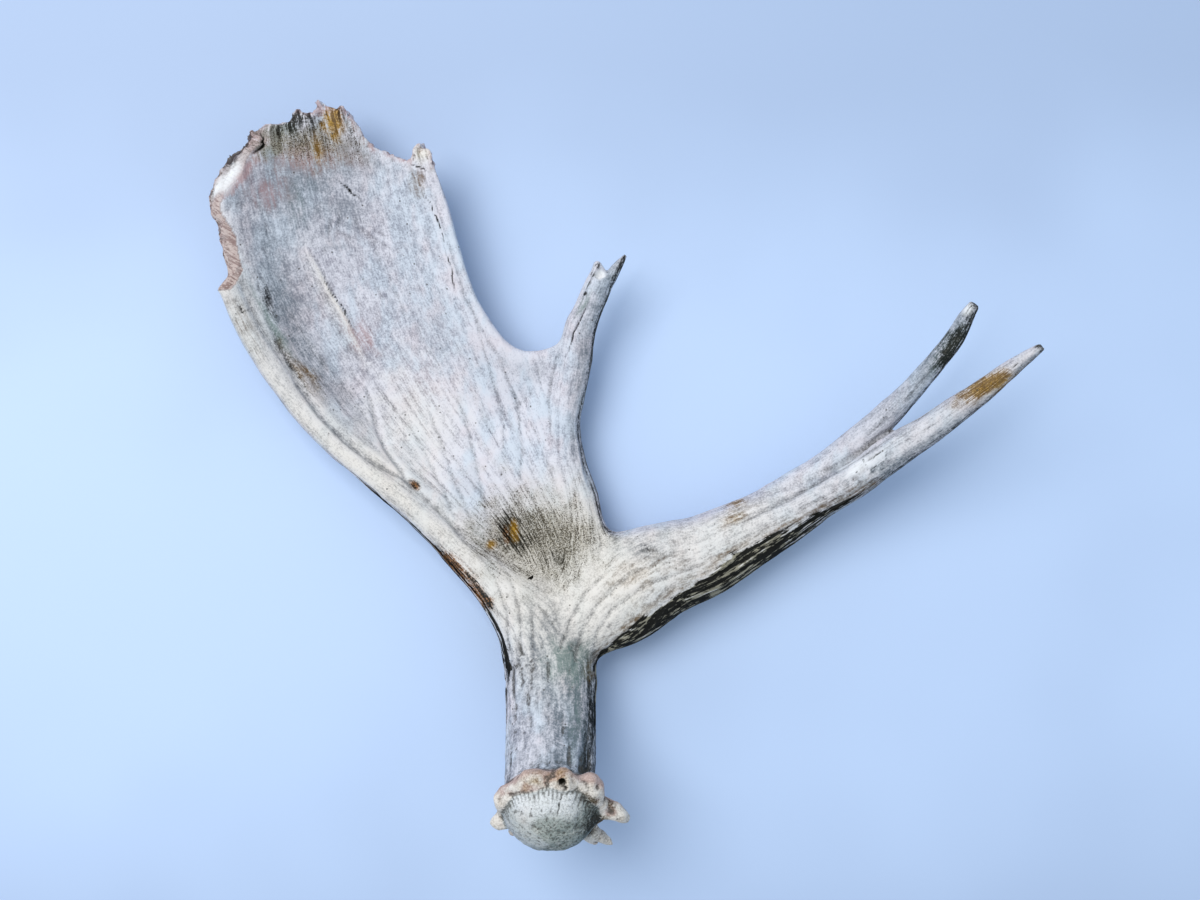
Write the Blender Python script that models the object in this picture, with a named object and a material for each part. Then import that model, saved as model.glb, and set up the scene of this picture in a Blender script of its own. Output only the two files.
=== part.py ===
"""A small shed moose antler, lying on its back with the hollow of its palm up.

It grew as one piece of bone: a round beam from the burr, a palm with a thick
ridge along its left edge, a short tine on the palm's right edge, and a brow
branch that forks into two tines. It is modelled whole, as closed lofts that a
voxel remesh joins, and then split into one solid for each branch of a fork.

Metres, +Z up. The origin is at the middle of the antler's footprint, on the
surface it lies on.
"""

import bmesh
import bpy
import numpy as np

# Each branch is a row of stations: x, y, z of its centre, half width, half height.
BEAM_AND_RIDGE = (
    (-0.0355, -0.1880, 0.0780, 0.0250, 0.0235),
    (-0.0355, -0.1780, 0.0680, 0.0260, 0.0250),
    (-0.0355, -0.1610, 0.0520, 0.0265, 0.0258),
    (-0.0360, -0.1375, 0.0370, 0.0270, 0.0262),
    (-0.0370, -0.1175, 0.0262, 0.0274, 0.0272),
    (-0.0440, -0.0955, 0.0240, 0.0255, 0.0250),
    (-0.0640, -0.0680, 0.0240, 0.0198, 0.0190),
    (-0.0915, -0.0405, 0.0230, 0.0162, 0.0155),
    (-0.1150, -0.0195, 0.0230, 0.0138, 0.0135),
    (-0.1420, 0.0015, 0.0240, 0.0126, 0.0120),
    (-0.1655, 0.0215, 0.0265, 0.0119, 0.0110),
    (-0.1835, 0.0420, 0.0300, 0.0107, 0.0100),
    (-0.1965, 0.0595, 0.0330, 0.0098, 0.0095),
    (-0.2120, 0.0850, 0.0370, 0.0088, 0.0090),
    (-0.2240, 0.1080, 0.0410, 0.0079, 0.0085),
)
BROW_STEM_AND_FRONT_TINE = (
    (-0.0315, -0.0965, 0.0250, 0.0250, 0.0200),
    (0.0020, -0.0765, 0.0250, 0.0320, 0.0230),
    (0.0315, -0.0605, 0.0250, 0.0280, 0.0250),
    (0.0510, -0.0530, 0.0245, 0.0240, 0.0245),
    (0.0755, -0.0395, 0.0235, 0.0200, 0.0240),
    (0.0990, -0.0275, 0.0280, 0.0172, 0.0200),
    (0.1210, -0.0165, 0.0360, 0.0136, 0.0160),
    (0.1420, -0.0055, 0.0450, 0.0117, 0.0135),
    (0.1675, 0.0130, 0.0570, 0.0107, 0.0110),
    (0.1825, 0.0230, 0.0660, 0.0095, 0.0095),
    (0.1965, 0.0335, 0.0760, 0.0089, 0.0085),
    (0.2095, 0.0440, 0.0870, 0.0079, 0.0075),
    (0.2210, 0.0540, 0.0970, 0.0062, 0.0062),
    (0.2300, 0.0625, 0.1045, 0.0046, 0.0046),
    (0.2370, 0.0685, 0.1110, 0.0032, 0.0032),
)
REAR_TINE = (
    (0.0895, -0.0280, 0.0270, 0.0132, 0.0150),
    (0.1100, -0.0130, 0.0290, 0.0119, 0.0140),
    (0.1285, 0.0000, 0.0340, 0.0110, 0.0120),
    (0.1440, 0.0150, 0.0410, 0.0091, 0.0100),
    (0.1590, 0.0295, 0.0490, 0.0079, 0.0085),
    (0.1740, 0.0460, 0.0580, 0.0069, 0.0075),
    (0.1875, 0.0635, 0.0670, 0.0062, 0.0068),
    (0.1955, 0.0750, 0.0740, 0.0056, 0.0060),
    (0.2020, 0.0870, 0.0800, 0.0046, 0.0048),
    (0.2065, 0.0950, 0.0850, 0.0030, 0.0030),
)
PALM_TINE = (
    (-0.0155, -0.0550, 0.0240, 0.0156, 0.0150),
    (-0.0175, -0.0225, 0.0240, 0.0114, 0.0120),
    (-0.0245, 0.0050, 0.0240, 0.0093, 0.0100),
    (-0.0255, 0.0290, 0.0250, 0.0087, 0.0090),
    (-0.0235, 0.0480, 0.0270, 0.0093, 0.0090),
    (-0.0205, 0.0665, 0.0290, 0.0107, 0.0095),
    (-0.0190, 0.0805, 0.0310, 0.0104, 0.0095),
    (-0.0135, 0.0940, 0.0340, 0.0092, 0.0090),
    (-0.0080, 0.1075, 0.0370, 0.0092, 0.0085),
    (-0.0040, 0.1165, 0.0390, 0.0083, 0.0080),
)
TINE_SPIKE = (
    (-0.0020, 0.1110, 0.0370, 0.0060, 0.0070),
    (0.0030, 0.1200, 0.0395, 0.0040, 0.0060),
    (0.0085, 0.1290, 0.0415, 0.0018, 0.0030),
)

# The palm's blade: the middle of its thickness along its four sides.
BLADE_LEFT = (
    (-0.0515, -0.0940, 0.0260),
    (-0.0640, -0.0680, 0.0240),
    (-0.1150, -0.0195, 0.0210),
    (-0.1655, 0.0215, 0.0245),
    (-0.1965, 0.0595, 0.0310),
    (-0.2240, 0.1080, 0.0390),
    (-0.2270, 0.1230, 0.0410),
    (-0.2290, 0.1330, 0.0420),
    (-0.2345, 0.1540, 0.0440),
    (-0.2330, 0.1670, 0.0450),
    (-0.2170, 0.1830, 0.0460),
)
BLADE_RIGHT = (
    (0.0070, -0.0430, 0.0240),
    (-0.0090, -0.0210, 0.0230),
    (-0.0250, 0.0290, 0.0240),
    (-0.0250, 0.0495, 0.0260),
    (-0.0325, 0.0690, 0.0270),
    (-0.0480, 0.0665, 0.0280),
    (-0.0595, 0.0700, 0.0290),
    (-0.0695, 0.0800, 0.0300),
    (-0.0840, 0.1085, 0.0340),
    (-0.0960, 0.1465, 0.0390),
    (-0.1040, 0.1805, 0.0420),
)
BLADE_ROOT = ((-0.0515, -0.0940, 0.0260), (-0.0250, -0.0720, 0.0250), (0.0070, -0.0430, 0.0240))
BROKEN_RIM = (
    (-0.2170, 0.1830, 0.0460),
    (-0.2060, 0.1980, 0.0470),
    (-0.1855, 0.2080, 0.0480),
    (-0.1720, 0.2080, 0.0480),
    (-0.1690, 0.2150, 0.0480),
    (-0.1570, 0.2140, 0.0470),
    (-0.1535, 0.2050, 0.0465),
    (-0.1400, 0.1890, 0.0450),
    (-0.1250, 0.1815, 0.0440),
    (-0.1170, 0.1810, 0.0435),
    (-0.1150, 0.1915, 0.0430),
    (-0.1060, 0.1890, 0.0425),
    (-0.1040, 0.1805, 0.0420),
)
# Share of the way from the root to the broken rim, how far the bowl sinks there, and the bone's thickness.
BOWL = (
    (0.00, 0.0000, 0.0300),
    (0.15, 0.0040, 0.0230),
    (0.30, 0.0120, 0.0160),
    (0.45, 0.0225, 0.0115),
    (0.60, 0.0240, 0.0110),
    (0.80, 0.0180, 0.0105),
    (1.00, 0.0070, 0.0095),
)

# The burr: a ring of knobs round the cut end of the beam, which the seal closes in a dome.
BURR_CENTRE = (-0.0350, -0.1900, 0.0800)
BEAM_END_RISE = np.radians(43)
RING_RADIUS, RING_HALF_THICKNESS, RING_KNOBS = 0.0265, 0.0066, 11
SEAL_RADIUS, SEAL_HEIGHT = 0.0275, 0.0250
# Each pearl runs from a point in the ring to its own tip: x, y, z and radius of both.
PEARLS = (
    ((-0.0140, -0.1760, 0.0900, 0.0060), (-0.0060, -0.1750, 0.0930, 0.0045)),
    ((-0.0100, -0.1870, 0.0840, 0.0070), (0.0120, -0.1980, 0.0770, 0.0045)),
    ((-0.0120, -0.2070, 0.0660, 0.0060), (0.0010, -0.2170, 0.0615, 0.0020)),
    ((-0.0160, -0.2080, 0.0640, 0.0045), (-0.0080, -0.2170, 0.0600, 0.0020)),
    ((-0.0560, -0.1970, 0.0760, 0.0070), (-0.0640, -0.2010, 0.0745, 0.0042)),
    ((-0.0540, -0.2040, 0.0690, 0.0055), (-0.0570, -0.2100, 0.0660, 0.0035)),
)

# Where the branches part, seen from above: the crown's middle, and a point clear of the bone on each cut.
CROWN = (-0.0155, -0.0485)
LEFT_OF_PALM_ROOT = (-0.1200, -0.1050)
RIGHT_OF_CROWN = (0.0140, -0.0110)
BELOW_BROW, RIGHT_OF_BURR = (0.0010, -0.1500), (0.4000, -0.1500)
PALM_BAY, RIGHT_OF_PALM_TINE = (-0.0430, 0.0770), (0.0300, 0.0660)
BROW_FORK = (0.1665, 0.0260)
BEFORE_FRONT_TINE, BEHIND_REAR_TINE = (0.1850, -0.0070), (0.1430, 0.0480)
BETWEEN_TINES = (0.2200, 0.0800)
ROOM = 0.4

VOXEL, SMOOTHING_ROUNDS, KEPT_SHARE = 0.0034, 3, 0.215
GAP = 0.0003

BONE_COLOURS = {
    "burr_and_beam": (0.46, 0.42, 0.38),
    "palm": (0.56, 0.53, 0.54),
    "palm_tine": (0.50, 0.47, 0.45),
    "brow_branch": (0.53, 0.50, 0.46),
    "brow_tine_front": (0.58, 0.54, 0.50),
    "brow_tine_rear": (0.50, 0.49, 0.46),
}
BONE_ROUGHNESS, BONE_METALLIC = 0.62, 0.0


def curve_through(points, count):
    """Hermite curve through the rows, read at evenly spaced lengths."""
    rows = np.array(points, float)
    at = np.concatenate([[0.0], np.cumsum(np.linalg.norm(np.diff(rows[:, :3], axis=0), axis=1))])
    slopes = np.gradient(rows, at, axis=0)
    wanted = np.linspace(0.0, at[-1], count)
    k = np.clip(np.searchsorted(at, wanted, side="right") - 1, 0, len(at) - 2)
    span = (at[k + 1] - at[k])[:, None]
    s = (wanted - at[k])[:, None] / span
    return (
        (2 * s**3 - 3 * s**2 + 1) * rows[k]
        + (s**3 - 2 * s**2 + s) * span * slopes[k]
        + (3 * s**2 - 2 * s**3) * rows[k + 1]
        + (s**3 - s**2) * span * slopes[k + 1]
    )


def corners_through(points, count):
    """Straight lines between the rows, read at evenly spaced lengths."""
    rows = np.array(points, float)
    at = np.concatenate([[0.0], np.cumsum(np.linalg.norm(np.diff(rows, axis=0), axis=1))])
    wanted = np.linspace(0.0, at[-1], count)
    return np.column_stack([np.interp(wanted, at, column) for column in rows.T])


def unit(vectors):
    return vectors / np.linalg.norm(vectors, axis=-1, keepdims=True)


def branch(stations, rings=30, sides=20):
    """Ellipses square to a path: centre + width cos(a) sideways + height sin(a) upwards."""
    rows = curve_through(stations, rings)
    centre, width, height = rows[:, :3], rows[:, 3], rows[:, 4]
    along = unit(np.gradient(centre, axis=0))
    aside = unit(np.cross(along, (0.0, 0.0, 1.0)))
    over = np.cross(aside, along)
    angle = np.linspace(0.0, 2 * np.pi, sides, endpoint=False)
    return (
        centre[:, None]
        + (width[:, None] * np.cos(angle))[..., None] * aside[:, None]
        + (height[:, None] * np.sin(angle))[..., None] * over[:, None]
    )


def palm_blade(rows=34, across=36):
    """A Coons patch between the four sides, bowed down into a bowl, with a half-round rim on both edges."""
    u = (1 - np.cos(np.linspace(0.0, np.pi, across + 1))) / 2
    v = np.linspace(0.0, 1.0, rows)[:, None]
    left, right = curve_through(BLADE_LEFT, rows), curve_through(BLADE_RIGHT, rows)
    fine = 400
    nearest = np.round(u * (fine - 1)).astype(int)
    low, high = curve_through(BLADE_ROOT, fine)[nearest], corners_through(BROKEN_RIM, fine)[nearest]
    u3, v3 = u[None, :, None], v[:, :, None]
    middle = (1 - u3) * left[:, None] + u3 * right[:, None] + (1 - v3) * low[None] + v3 * high[None]
    middle -= (1 - u3) * (1 - v3) * left[0] + u3 * (1 - v3) * right[0]
    middle -= (1 - u3) * v3 * left[-1] + u3 * v3 * right[-1]
    bowl = curve_through(np.insert(BOWL, 1, 0.0, axis=1), rows)
    middle[..., 2] -= bowl[:, 2:3] * (4 * u * (1 - u)) ** 0.8
    normal = unit(np.cross(np.gradient(middle, axis=1), np.gradient(middle, axis=0)))
    half = bowl[:, 3:4] / 2 * np.ones_like(u)
    width = np.linalg.norm(right - left, axis=1)[:, None]
    inward = np.clip(np.minimum(u, 1 - u) * width / half, 0.0, 1.0)
    half = (half * np.sqrt(1 - (1 - inward) ** 2))[..., None]
    upper, lower = middle + normal * half, middle - normal * half
    return np.concatenate([upper, lower[:, -2:0:-1]], axis=1)


def burr_frame():
    """The beam's axis at the burr, and two directions across it: to the side and up."""
    axis = np.array((0.0, -np.cos(BEAM_END_RISE), np.sin(BEAM_END_RISE)))
    aside = np.array((1.0, 0.0, 0.0))
    return axis, aside, np.cross(aside, axis)


def burr_ring(steps=44, sides=10):
    """A torus whose thickness swells at each knob: ring angle t, section angle a."""
    axis, aside, over = burr_frame()
    t = np.linspace(0.0, 2 * np.pi, steps, endpoint=False)[:, None, None]
    a = np.linspace(0.0, 2 * np.pi, sides, endpoint=False)[None, :, None]
    outward = np.cos(t) * aside + np.sin(t) * over
    thick = RING_HALF_THICKNESS * (1 + 0.16 * np.cos(RING_KNOBS * t) + 0.1 * np.sin(4 * t))
    return np.array(BURR_CENTRE) + outward * (RING_RADIUS + thick * np.cos(a)) + axis * thick * np.sin(a)


def seal_dome(rings=12, sides=28):
    """Half an ellipsoid on the beam's axis, from inside the ring out to its crown."""
    axis, aside, over = burr_frame()
    rise = np.linspace(-0.35, 0.47, rings)[:, None, None] * np.pi
    a = np.linspace(0.0, 2 * np.pi, sides, endpoint=False)[None, :, None]
    outward = np.cos(a) * aside + np.sin(a) * over
    return np.array(BURR_CENTRE) + axis * SEAL_HEIGHT * np.sin(rise) + outward * SEAL_RADIUS * np.cos(rise)


def pearl(base, tip):
    """A round-ended peg from one point and radius to another."""
    share = np.linspace(0.0, 1.0, 7)[:, None]
    rows = np.array(base) * (1 - share) + np.array(tip) * share
    rows[:, 3] *= np.sqrt(1 - (np.clip(share[:, 0] - 0.6, 0, None) / 0.45) ** 2)
    return branch(np.column_stack([rows, rows[:, 3]]), rings=9, sides=10)


def add_loft(mesh, points, closed_path=False):
    """Adds rings of points to the mesh as quads, with a flat cap on each end of an open row of rings."""
    rings, sides = points.shape[:2]
    verts = [[mesh.verts.new(point) for point in ring] for ring in points]
    added = []
    for i in range(rings if closed_path else rings - 1):
        here, there = verts[i], verts[(i + 1) % rings]
        for j in range(sides):
            k = (j + 1) % sides
            added.append(mesh.faces.new((here[j], here[k], there[k], there[j])))
    if not closed_path:
        added += [mesh.faces.new(verts[0][::-1]), mesh.faces.new(verts[-1])]
    bmesh.ops.recalc_face_normals(mesh, faces=added)


def joined_lofts():
    """One object that holds every loft of the antler, overlapping at the forks."""
    mesh = bmesh.new()
    for stations in (BEAM_AND_RIDGE, BROW_STEM_AND_FRONT_TINE, REAR_TINE, PALM_TINE, TINE_SPIKE):
        add_loft(mesh, branch(stations))
    add_loft(mesh, palm_blade())
    add_loft(mesh, burr_ring(), closed_path=True)
    add_loft(mesh, seal_dome())
    for base, tip in PEARLS:
        add_loft(mesh, pearl(base, tip))
    data = bpy.data.meshes.new("antler_lofts")
    mesh.to_mesh(data)
    mesh.free()
    return new_object("antler_lofts", data)


def new_object(name, data):
    obj = bpy.data.objects.new(name, data)
    bpy.context.scene.collection.objects.link(obj)
    return obj


def whole_antler():
    """The joined lofts as one skin, smoothed where the branches meet, and thinned."""
    lofts = joined_lofts()
    remesh = lofts.modifiers.new("one_skin", "REMESH")
    remesh.mode = "VOXEL"
    remesh.voxel_size = VOXEL
    smooth = lofts.modifiers.new("soft_forks", "SMOOTH")
    smooth.factor, smooth.iterations = 0.5, SMOOTHING_ROUNDS
    thin = lofts.modifiers.new("fewer_faces", "DECIMATE")
    thin.ratio = KEPT_SHARE
    bpy.context.view_layer.update()
    evaluated = lofts.evaluated_get(bpy.context.evaluated_depsgraph_get())
    data = bpy.data.meshes.new_from_object(evaluated)
    bpy.data.objects.remove(lofts)
    data.name = "antler"
    return data


def centred(data):
    """Moves the mesh so that its footprint's middle is over the origin, and returns how far it went."""
    points = np.empty(len(data.vertices) * 3, np.float32)
    data.vertices.foreach_get("co", points)
    points = points.reshape(-1, 3)
    shift = -(points.min(axis=0) + points.max(axis=0)) / 2
    shift[2] = 0.0
    data.vertices.foreach_set("co", (points + shift).ravel())
    data.update()
    return shift


def inset(outline, distance):
    """The outline with each side moved inwards by the distance."""
    points = np.array(outline, float)
    side = unit(np.roll(points, -1, axis=0) - points)
    before = np.roll(side, 1, axis=0)
    inward = np.column_stack([-side[:, 1], side[:, 0]]) + np.column_stack([-before[:, 1], before[:, 0]])
    cosine = np.sum(side * before, axis=1)[:, None]
    return points + inward * distance / (1 + cosine)


def branch_block(name, outline, shift):
    """A prism over the outline, given anticlockwise, from the resting surface up."""
    mesh = bmesh.new()
    low = [mesh.verts.new((x + shift[0], y + shift[1], 0.0)) for x, y in inset(outline, GAP / 2)]
    face = mesh.faces.new(low)
    top = bmesh.ops.extrude_face_region(mesh, geom=[face])["geom"]
    bmesh.ops.translate(mesh, vec=(0.0, 0.0, ROOM), verts=[v for v in top if isinstance(v, bmesh.types.BMVert)])
    bmesh.ops.recalc_face_normals(mesh, faces=mesh.faces[:])
    data = bpy.data.meshes.new(name)
    mesh.to_mesh(data)
    mesh.free()
    block = new_object(name, data)
    block.hide_render = True
    block.display_type = "WIRE"
    return block


def branch_outlines():
    """What each branch covers, seen from above and anticlockwise."""
    far = ROOM
    return {
        "burr_and_beam": (CROWN, LEFT_OF_PALM_ROOT, (-far, -far), (far, -far), RIGHT_OF_BURR, BELOW_BROW),
        "palm": (
            CROWN,
            RIGHT_OF_CROWN,
            RIGHT_OF_PALM_TINE,
            PALM_BAY,
            (PALM_BAY[0], far),
            (-far, far),
            (-far, LEFT_OF_PALM_ROOT[1]),
            LEFT_OF_PALM_ROOT,
        ),
        "palm_tine": (PALM_BAY, RIGHT_OF_PALM_TINE, (RIGHT_OF_PALM_TINE[0], far), (PALM_BAY[0], far)),
        "brow_branch": (CROWN, BELOW_BROW, BEFORE_FRONT_TINE, BROW_FORK, BEHIND_REAR_TINE, RIGHT_OF_CROWN),
        "brow_tine_front": (BROW_FORK, BEFORE_FRONT_TINE, (far, -far), (far, BETWEEN_TINES[1]), BETWEEN_TINES),
        "brow_tine_rear": (BROW_FORK, BETWEEN_TINES, (far, far), (BEHIND_REAR_TINE[0], far), BEHIND_REAR_TINE),
    }


def bone_material(name):
    material = bpy.data.materials.new(name + "_bone")
    material.use_nodes = True
    shader = material.node_tree.nodes["Principled BSDF"]
    shader.inputs["Base Color"].default_value = (*BONE_COLOURS[name], 1.0)
    shader.inputs["Roughness"].default_value = BONE_ROUGHNESS
    shader.inputs["Metallic"].default_value = BONE_METALLIC
    return material


def add_branch(name, outline, antler, shift):
    """The part of the antler that stands over one outline."""
    node = new_object(name, antler.copy())
    node.data.materials.append(bone_material(name))
    node.data.shade_smooth()
    cut = node.modifiers.new("cut_at_forks", "BOOLEAN")
    cut.operation = "INTERSECT"
    cut.object = branch_block(name + "_block", outline, shift)


def main():
    for obj in list(bpy.data.objects):
        bpy.data.objects.remove(obj)
    antler = whole_antler()
    shift = centred(antler)
    for name, outline in branch_outlines().items():
        add_branch(name, outline, antler, shift)


main()
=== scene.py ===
"""A small shed moose antler, lying on its back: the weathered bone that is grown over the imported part.

The antler is one bone, so it is grown as one skin over closed lofts, with its furrows, cracks, broken rim and
burr as real shape, and is then parted at its main forks into one closed mesh for each branch. Lengths are
metres, apart from the tables that say millimetres. The tables' frame is the part's before it was centred.
"""

from collections import namedtuple

import bmesh
import bpy
import numpy as np
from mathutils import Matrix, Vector


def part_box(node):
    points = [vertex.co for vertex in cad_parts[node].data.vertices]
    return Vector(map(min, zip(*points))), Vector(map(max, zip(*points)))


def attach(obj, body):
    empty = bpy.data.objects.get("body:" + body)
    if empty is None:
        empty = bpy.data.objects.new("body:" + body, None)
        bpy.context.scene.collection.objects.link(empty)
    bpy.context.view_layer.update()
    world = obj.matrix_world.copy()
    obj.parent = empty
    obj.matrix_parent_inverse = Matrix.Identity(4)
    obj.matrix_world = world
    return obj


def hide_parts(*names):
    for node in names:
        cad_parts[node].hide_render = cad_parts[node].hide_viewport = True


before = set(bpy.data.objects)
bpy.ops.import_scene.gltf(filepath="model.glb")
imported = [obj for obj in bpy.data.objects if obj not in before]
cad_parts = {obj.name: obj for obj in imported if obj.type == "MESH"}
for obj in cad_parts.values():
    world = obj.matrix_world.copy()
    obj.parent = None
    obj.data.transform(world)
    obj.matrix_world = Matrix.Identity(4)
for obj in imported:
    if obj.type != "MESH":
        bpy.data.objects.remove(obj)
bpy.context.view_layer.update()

bl_info = {
    "name": "Shed Moose Antler",
    "version": (1, 0, 0),
    "blender": (4, 5, 0),
    "location": "3D View > Sidebar > Antler",
    "description": "Grows a weathered moose antler over its packed part, with a plain studio",
    "category": "Object",
}

UP = np.array((0.0, 0.0, 1.0))
MM = 0.001


def metres(*rows):
    """Rows of millimetres as rows of metres."""
    return tuple(tuple(round(value * MM, 7) for value in row) for row in rows)


# Each branch is a row of stations: x, y, z of its centre, half width, half height, in millimetres.
BEAM_AND_RIDGE = metres(
    (-35.5, -188, 78, 25, 23.5), (-35.5, -178, 68, 26, 25), (-35.5, -161, 52, 26.5, 25.8),
    (-36, -137.5, 37, 27, 26.2), (-37, -117.5, 26.2, 27.4, 27.2), (-44.9, -96, 24, 24.5, 25),
    (-66.9, -70.5, 24, 16, 19), (-94.9, -44.1, 23, 11.2, 15.5), (-118.1, -23.2, 23, 9, 13.5),
    (-144.6, -1.8, 24, 8.4, 12), (-168.1, 18.8, 26.5, 8.2, 11), (-186.2, 39.7, 30, 8, 10),
    (-199.3, 57.6, 33, 7.8, 9.5), (-214.6, 83.6, 37, 7.4, 9), (-224.8, 107.6, 41, 7, 8.5),
)
BROW_STEM_AND_FRONT_TINE = metres(
    (-31.5, -96.5, 25, 25, 20), (3, -73.8, 25, 33.8, 23), (32.5, -60.1, 25, 28.4, 25),
    (52, -53.8, 24.5, 25.5, 24.5), (76.6, -41.4, 23.5, 22.1, 24), (99.8, -28.8, 28, 18.7, 20),
    (121.4, -17.1, 36, 14.2, 16), (142, -5.5, 45, 11.7, 13.5), (167.5, 13, 57, 10, 11),
    (182.5, 23.3, 66, 8.9, 9.5), (196, 34.2, 76, 8, 8.5), (208.5, 44.6, 87, 7, 7.5),
    (219.5, 54.6, 97, 5.6, 6), (228.5, 62.5, 104.5, 3.8, 4.2), (235.2, 67.6, 110.5, 2.3, 2.6),
)
REAR_TINE = metres(
    (89.5, -28, 27, 13.2, 15), (110, -13, 29, 11.9, 14), (128.5, 0, 34, 11, 12), (144, 15, 41, 9.1, 10),
    (159, 29.5, 49, 7.9, 8.5), (174, 46, 58, 6.9, 7.5), (187.5, 63.5, 67, 6.2, 6.8),
    (195.5, 75, 74, 5.6, 6), (201, 86.8, 80, 4.4, 4.8), (204.7, 93.5, 84.5, 3.2, 3.2),
)
PALM_TINE = metres(
    (-15.5, -55, 24, 15.6, 15), (-17.5, -22.5, 24, 11.4, 12), (-24.5, 5, 24, 9.3, 10),
    (-26.2, 29, 25, 7.9, 9), (-23.5, 48, 27, 9.3, 9), (-20.5, 66.5, 29, 10.7, 9.5),
    (-19, 80.5, 31, 10.4, 9.5), (-13.6, 94, 34, 8.7, 9), (-7.6, 107.5, 37, 8.2, 8.4),
    (-4.6, 114, 39, 7.6, 7.8),
)
TINE_LOBE = metres(
    (-6.6, 109.5, 38.5, 5.6, 7), (-7.4, 115, 40, 4.5, 5.6), (-8, 119, 41, 3.2, 4),
    (-8.4, 122.5, 41.5, 1.2, 2),
)
TINE_SPIKE = metres(
    (-6.2, 102, 36, 3.6, 6), (-2.4, 109, 37.2, 3.7, 6), (1.9, 116.5, 39, 3.4, 5),
    (6, 122.5, 40.5, 2.2, 3.5), (8.6, 126.2, 41.2, 1.1, 1.8),
)
# The bone's fibres leave the beam before the branches do: the first stations that they follow.
FIBRES_TO_BROW = metres(
    (-33, -165, 55, 25, 25), (-30, -138, 38, 26, 26), (-20, -112, 27, 28, 26), (4, -87, 25, 32, 25),
)
FIBRES_TO_PALM_TINE = metres(
    (-34.5, -130, 33, 26, 26), (-27, -95, 25, 22, 22),
)
# The palm's outermost fibres, seen from above.
FIBRES_LEFT_OF_PALM = metres(
    (-48, -120), (-51.5, -94), (-64, -68), (-115, -19.5), (-165.5, 21.5), (-196.5, 59.5), (-224, 108),
    (-234, 150), (-238, 190), (-240, 230),
)
FIBRES_RIGHT_OF_PALM = metres(
    (-20, -120), (-8, -80), (-4, -43), (-12, -10), (-21, 20), (-29, 45), (-39, 75), (-52, 115), (-68, 160),
    (-85, 210),
)

# The crown, where every branch begins, seen from above.
CROWN = (-0.0155, -0.0485)

# The palm's blade: the middle of its thickness along its four sides, in millimetres. Above the ridge its left
# side is broken bone too, with corners in place of a curve.
BLADE_LEFT = metres(
    (-51.5, -94, 26), (-67, -70.3, 24), (-118.2, -23.1, 26.2), (-168, 18.8, 29), (-198.9, 58, 33.5),
    (-222, 103.5, 39),
)
BROKEN_LEFT = metres(
    (-232.5, 105.2, 41), (-225.7, 114.1, 41.5), (-226.9, 121.1, 42), (-230, 137.6, 43),
    (-232.1, 144.6, 43.5), (-235.1, 148.1, 43.8), (-236.3, 156.3, 44), (-235.7, 161, 44.2),
    (-233.3, 168, 44.5), (-229.8, 175.1, 45), (-223.9, 178.6, 45.5), (-218.7, 183.9, 45.8),
)
BLADE_RIGHT = metres(
    (-25, 74, 26.5), (-36.9, 74.5, 27.5), (-42.3, 71.3, 27.8), (-48.9, 70.5, 28), (-55.4, 71.6, 28.5),
    (-62, 75.5, 29), (-69.4, 84.3, 30), (-76.8, 96.3, 32), (-84.3, 114.4, 35), (-90.7, 135.6, 38),
    (-97.5, 160.1, 40.5), (-104.3, 178, 42),
)
BLADE_ROOT = metres(
    (-51.5, -94, 26), (-30, -88, 25.5), (3, -52, 24), (-12, -18, 23.5), (-21.5, 29, 24), (-24, 55, 25.5),
    (-25, 74, 26.5),
)
BROKEN_RIM = metres(
    (-218.7, 183.9, 45.8), (-214.6, 187.4, 46), (-213.2, 193.8, 46), (-213.6, 198.8, 46.2),
    (-210.5, 198.5, 46.4), (-206.2, 194.5, 46.4), (-205, 192.5, 46.4), (-204.6, 195, 46.4),
    (-207.8, 200.3, 46.6), (-204, 202.1, 46.8), (-197, 202.6, 47.2), (-187.6, 205.6, 47.6),
    (-187, 209.7, 47.8), (-184.1, 211, 48), (-178.2, 209.7, 48), (-173.5, 209.7, 48), (-172.9, 215, 48),
    (-171.2, 216.7, 48), (-167.6, 213.8, 47.8), (-163, 213.2, 47.5), (-159.4, 215.2, 47.2),
    (-156.2, 213.5, 46.8), (-151.2, 203.2, 46), (-146.5, 196.8, 45.5), (-140.7, 189.7, 45),
    (-126.6, 183.9, 44.2), (-118, 180.6, 43.6), (-116, 191.5, 43), (-111.4, 191.5, 42.8),
    (-110.8, 187.7, 42.7), (-106.4, 188, 42.5), (-104.3, 178, 42),
)
# Where the palm's inner surface ends at the broken left side: outside it the broken face slopes down.
BREAK_LINE = metres(
    (-222.5, 105), (-216.3, 116.7), (-219.3, 128.5), (-220.4, 136.7), (-225.1, 145), (-228.7, 150.8),
    (-229.3, 153.8), (-225.7, 163.8), (-216.3, 172), (-212.8, 181.4), (-210.4, 186.1), (-204, 191.5),
)
BROKEN_FACE = BREAK_LINE + metres((-211, 205), (-250, 205), (-250, 105))

# How far from the crown in plan, how far the bowl sinks there, and the bone's thickness, in millimetres.
BOWL = metres(
    (0, 2, 28), (40, 5, 23), (85, 12, 16), (130, 21, 12), (180, 24, 11), (240, 18, 10.5), (310, 8, 9.5),
)
BOWL_LEFT_REACH, BOWL_RIGHT_REACH = 0.015, 0.034

# The burr: a ring of knobs round the cut end of the beam, which the seal closes in a dome.
BURR_CENTRE = np.array((-0.0340, -0.1895, 0.0800))
BEAM_END_RISE = np.radians(43)
RING_RADIUS, RING_HALF_THICKNESS = 0.0250, 0.0064
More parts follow.
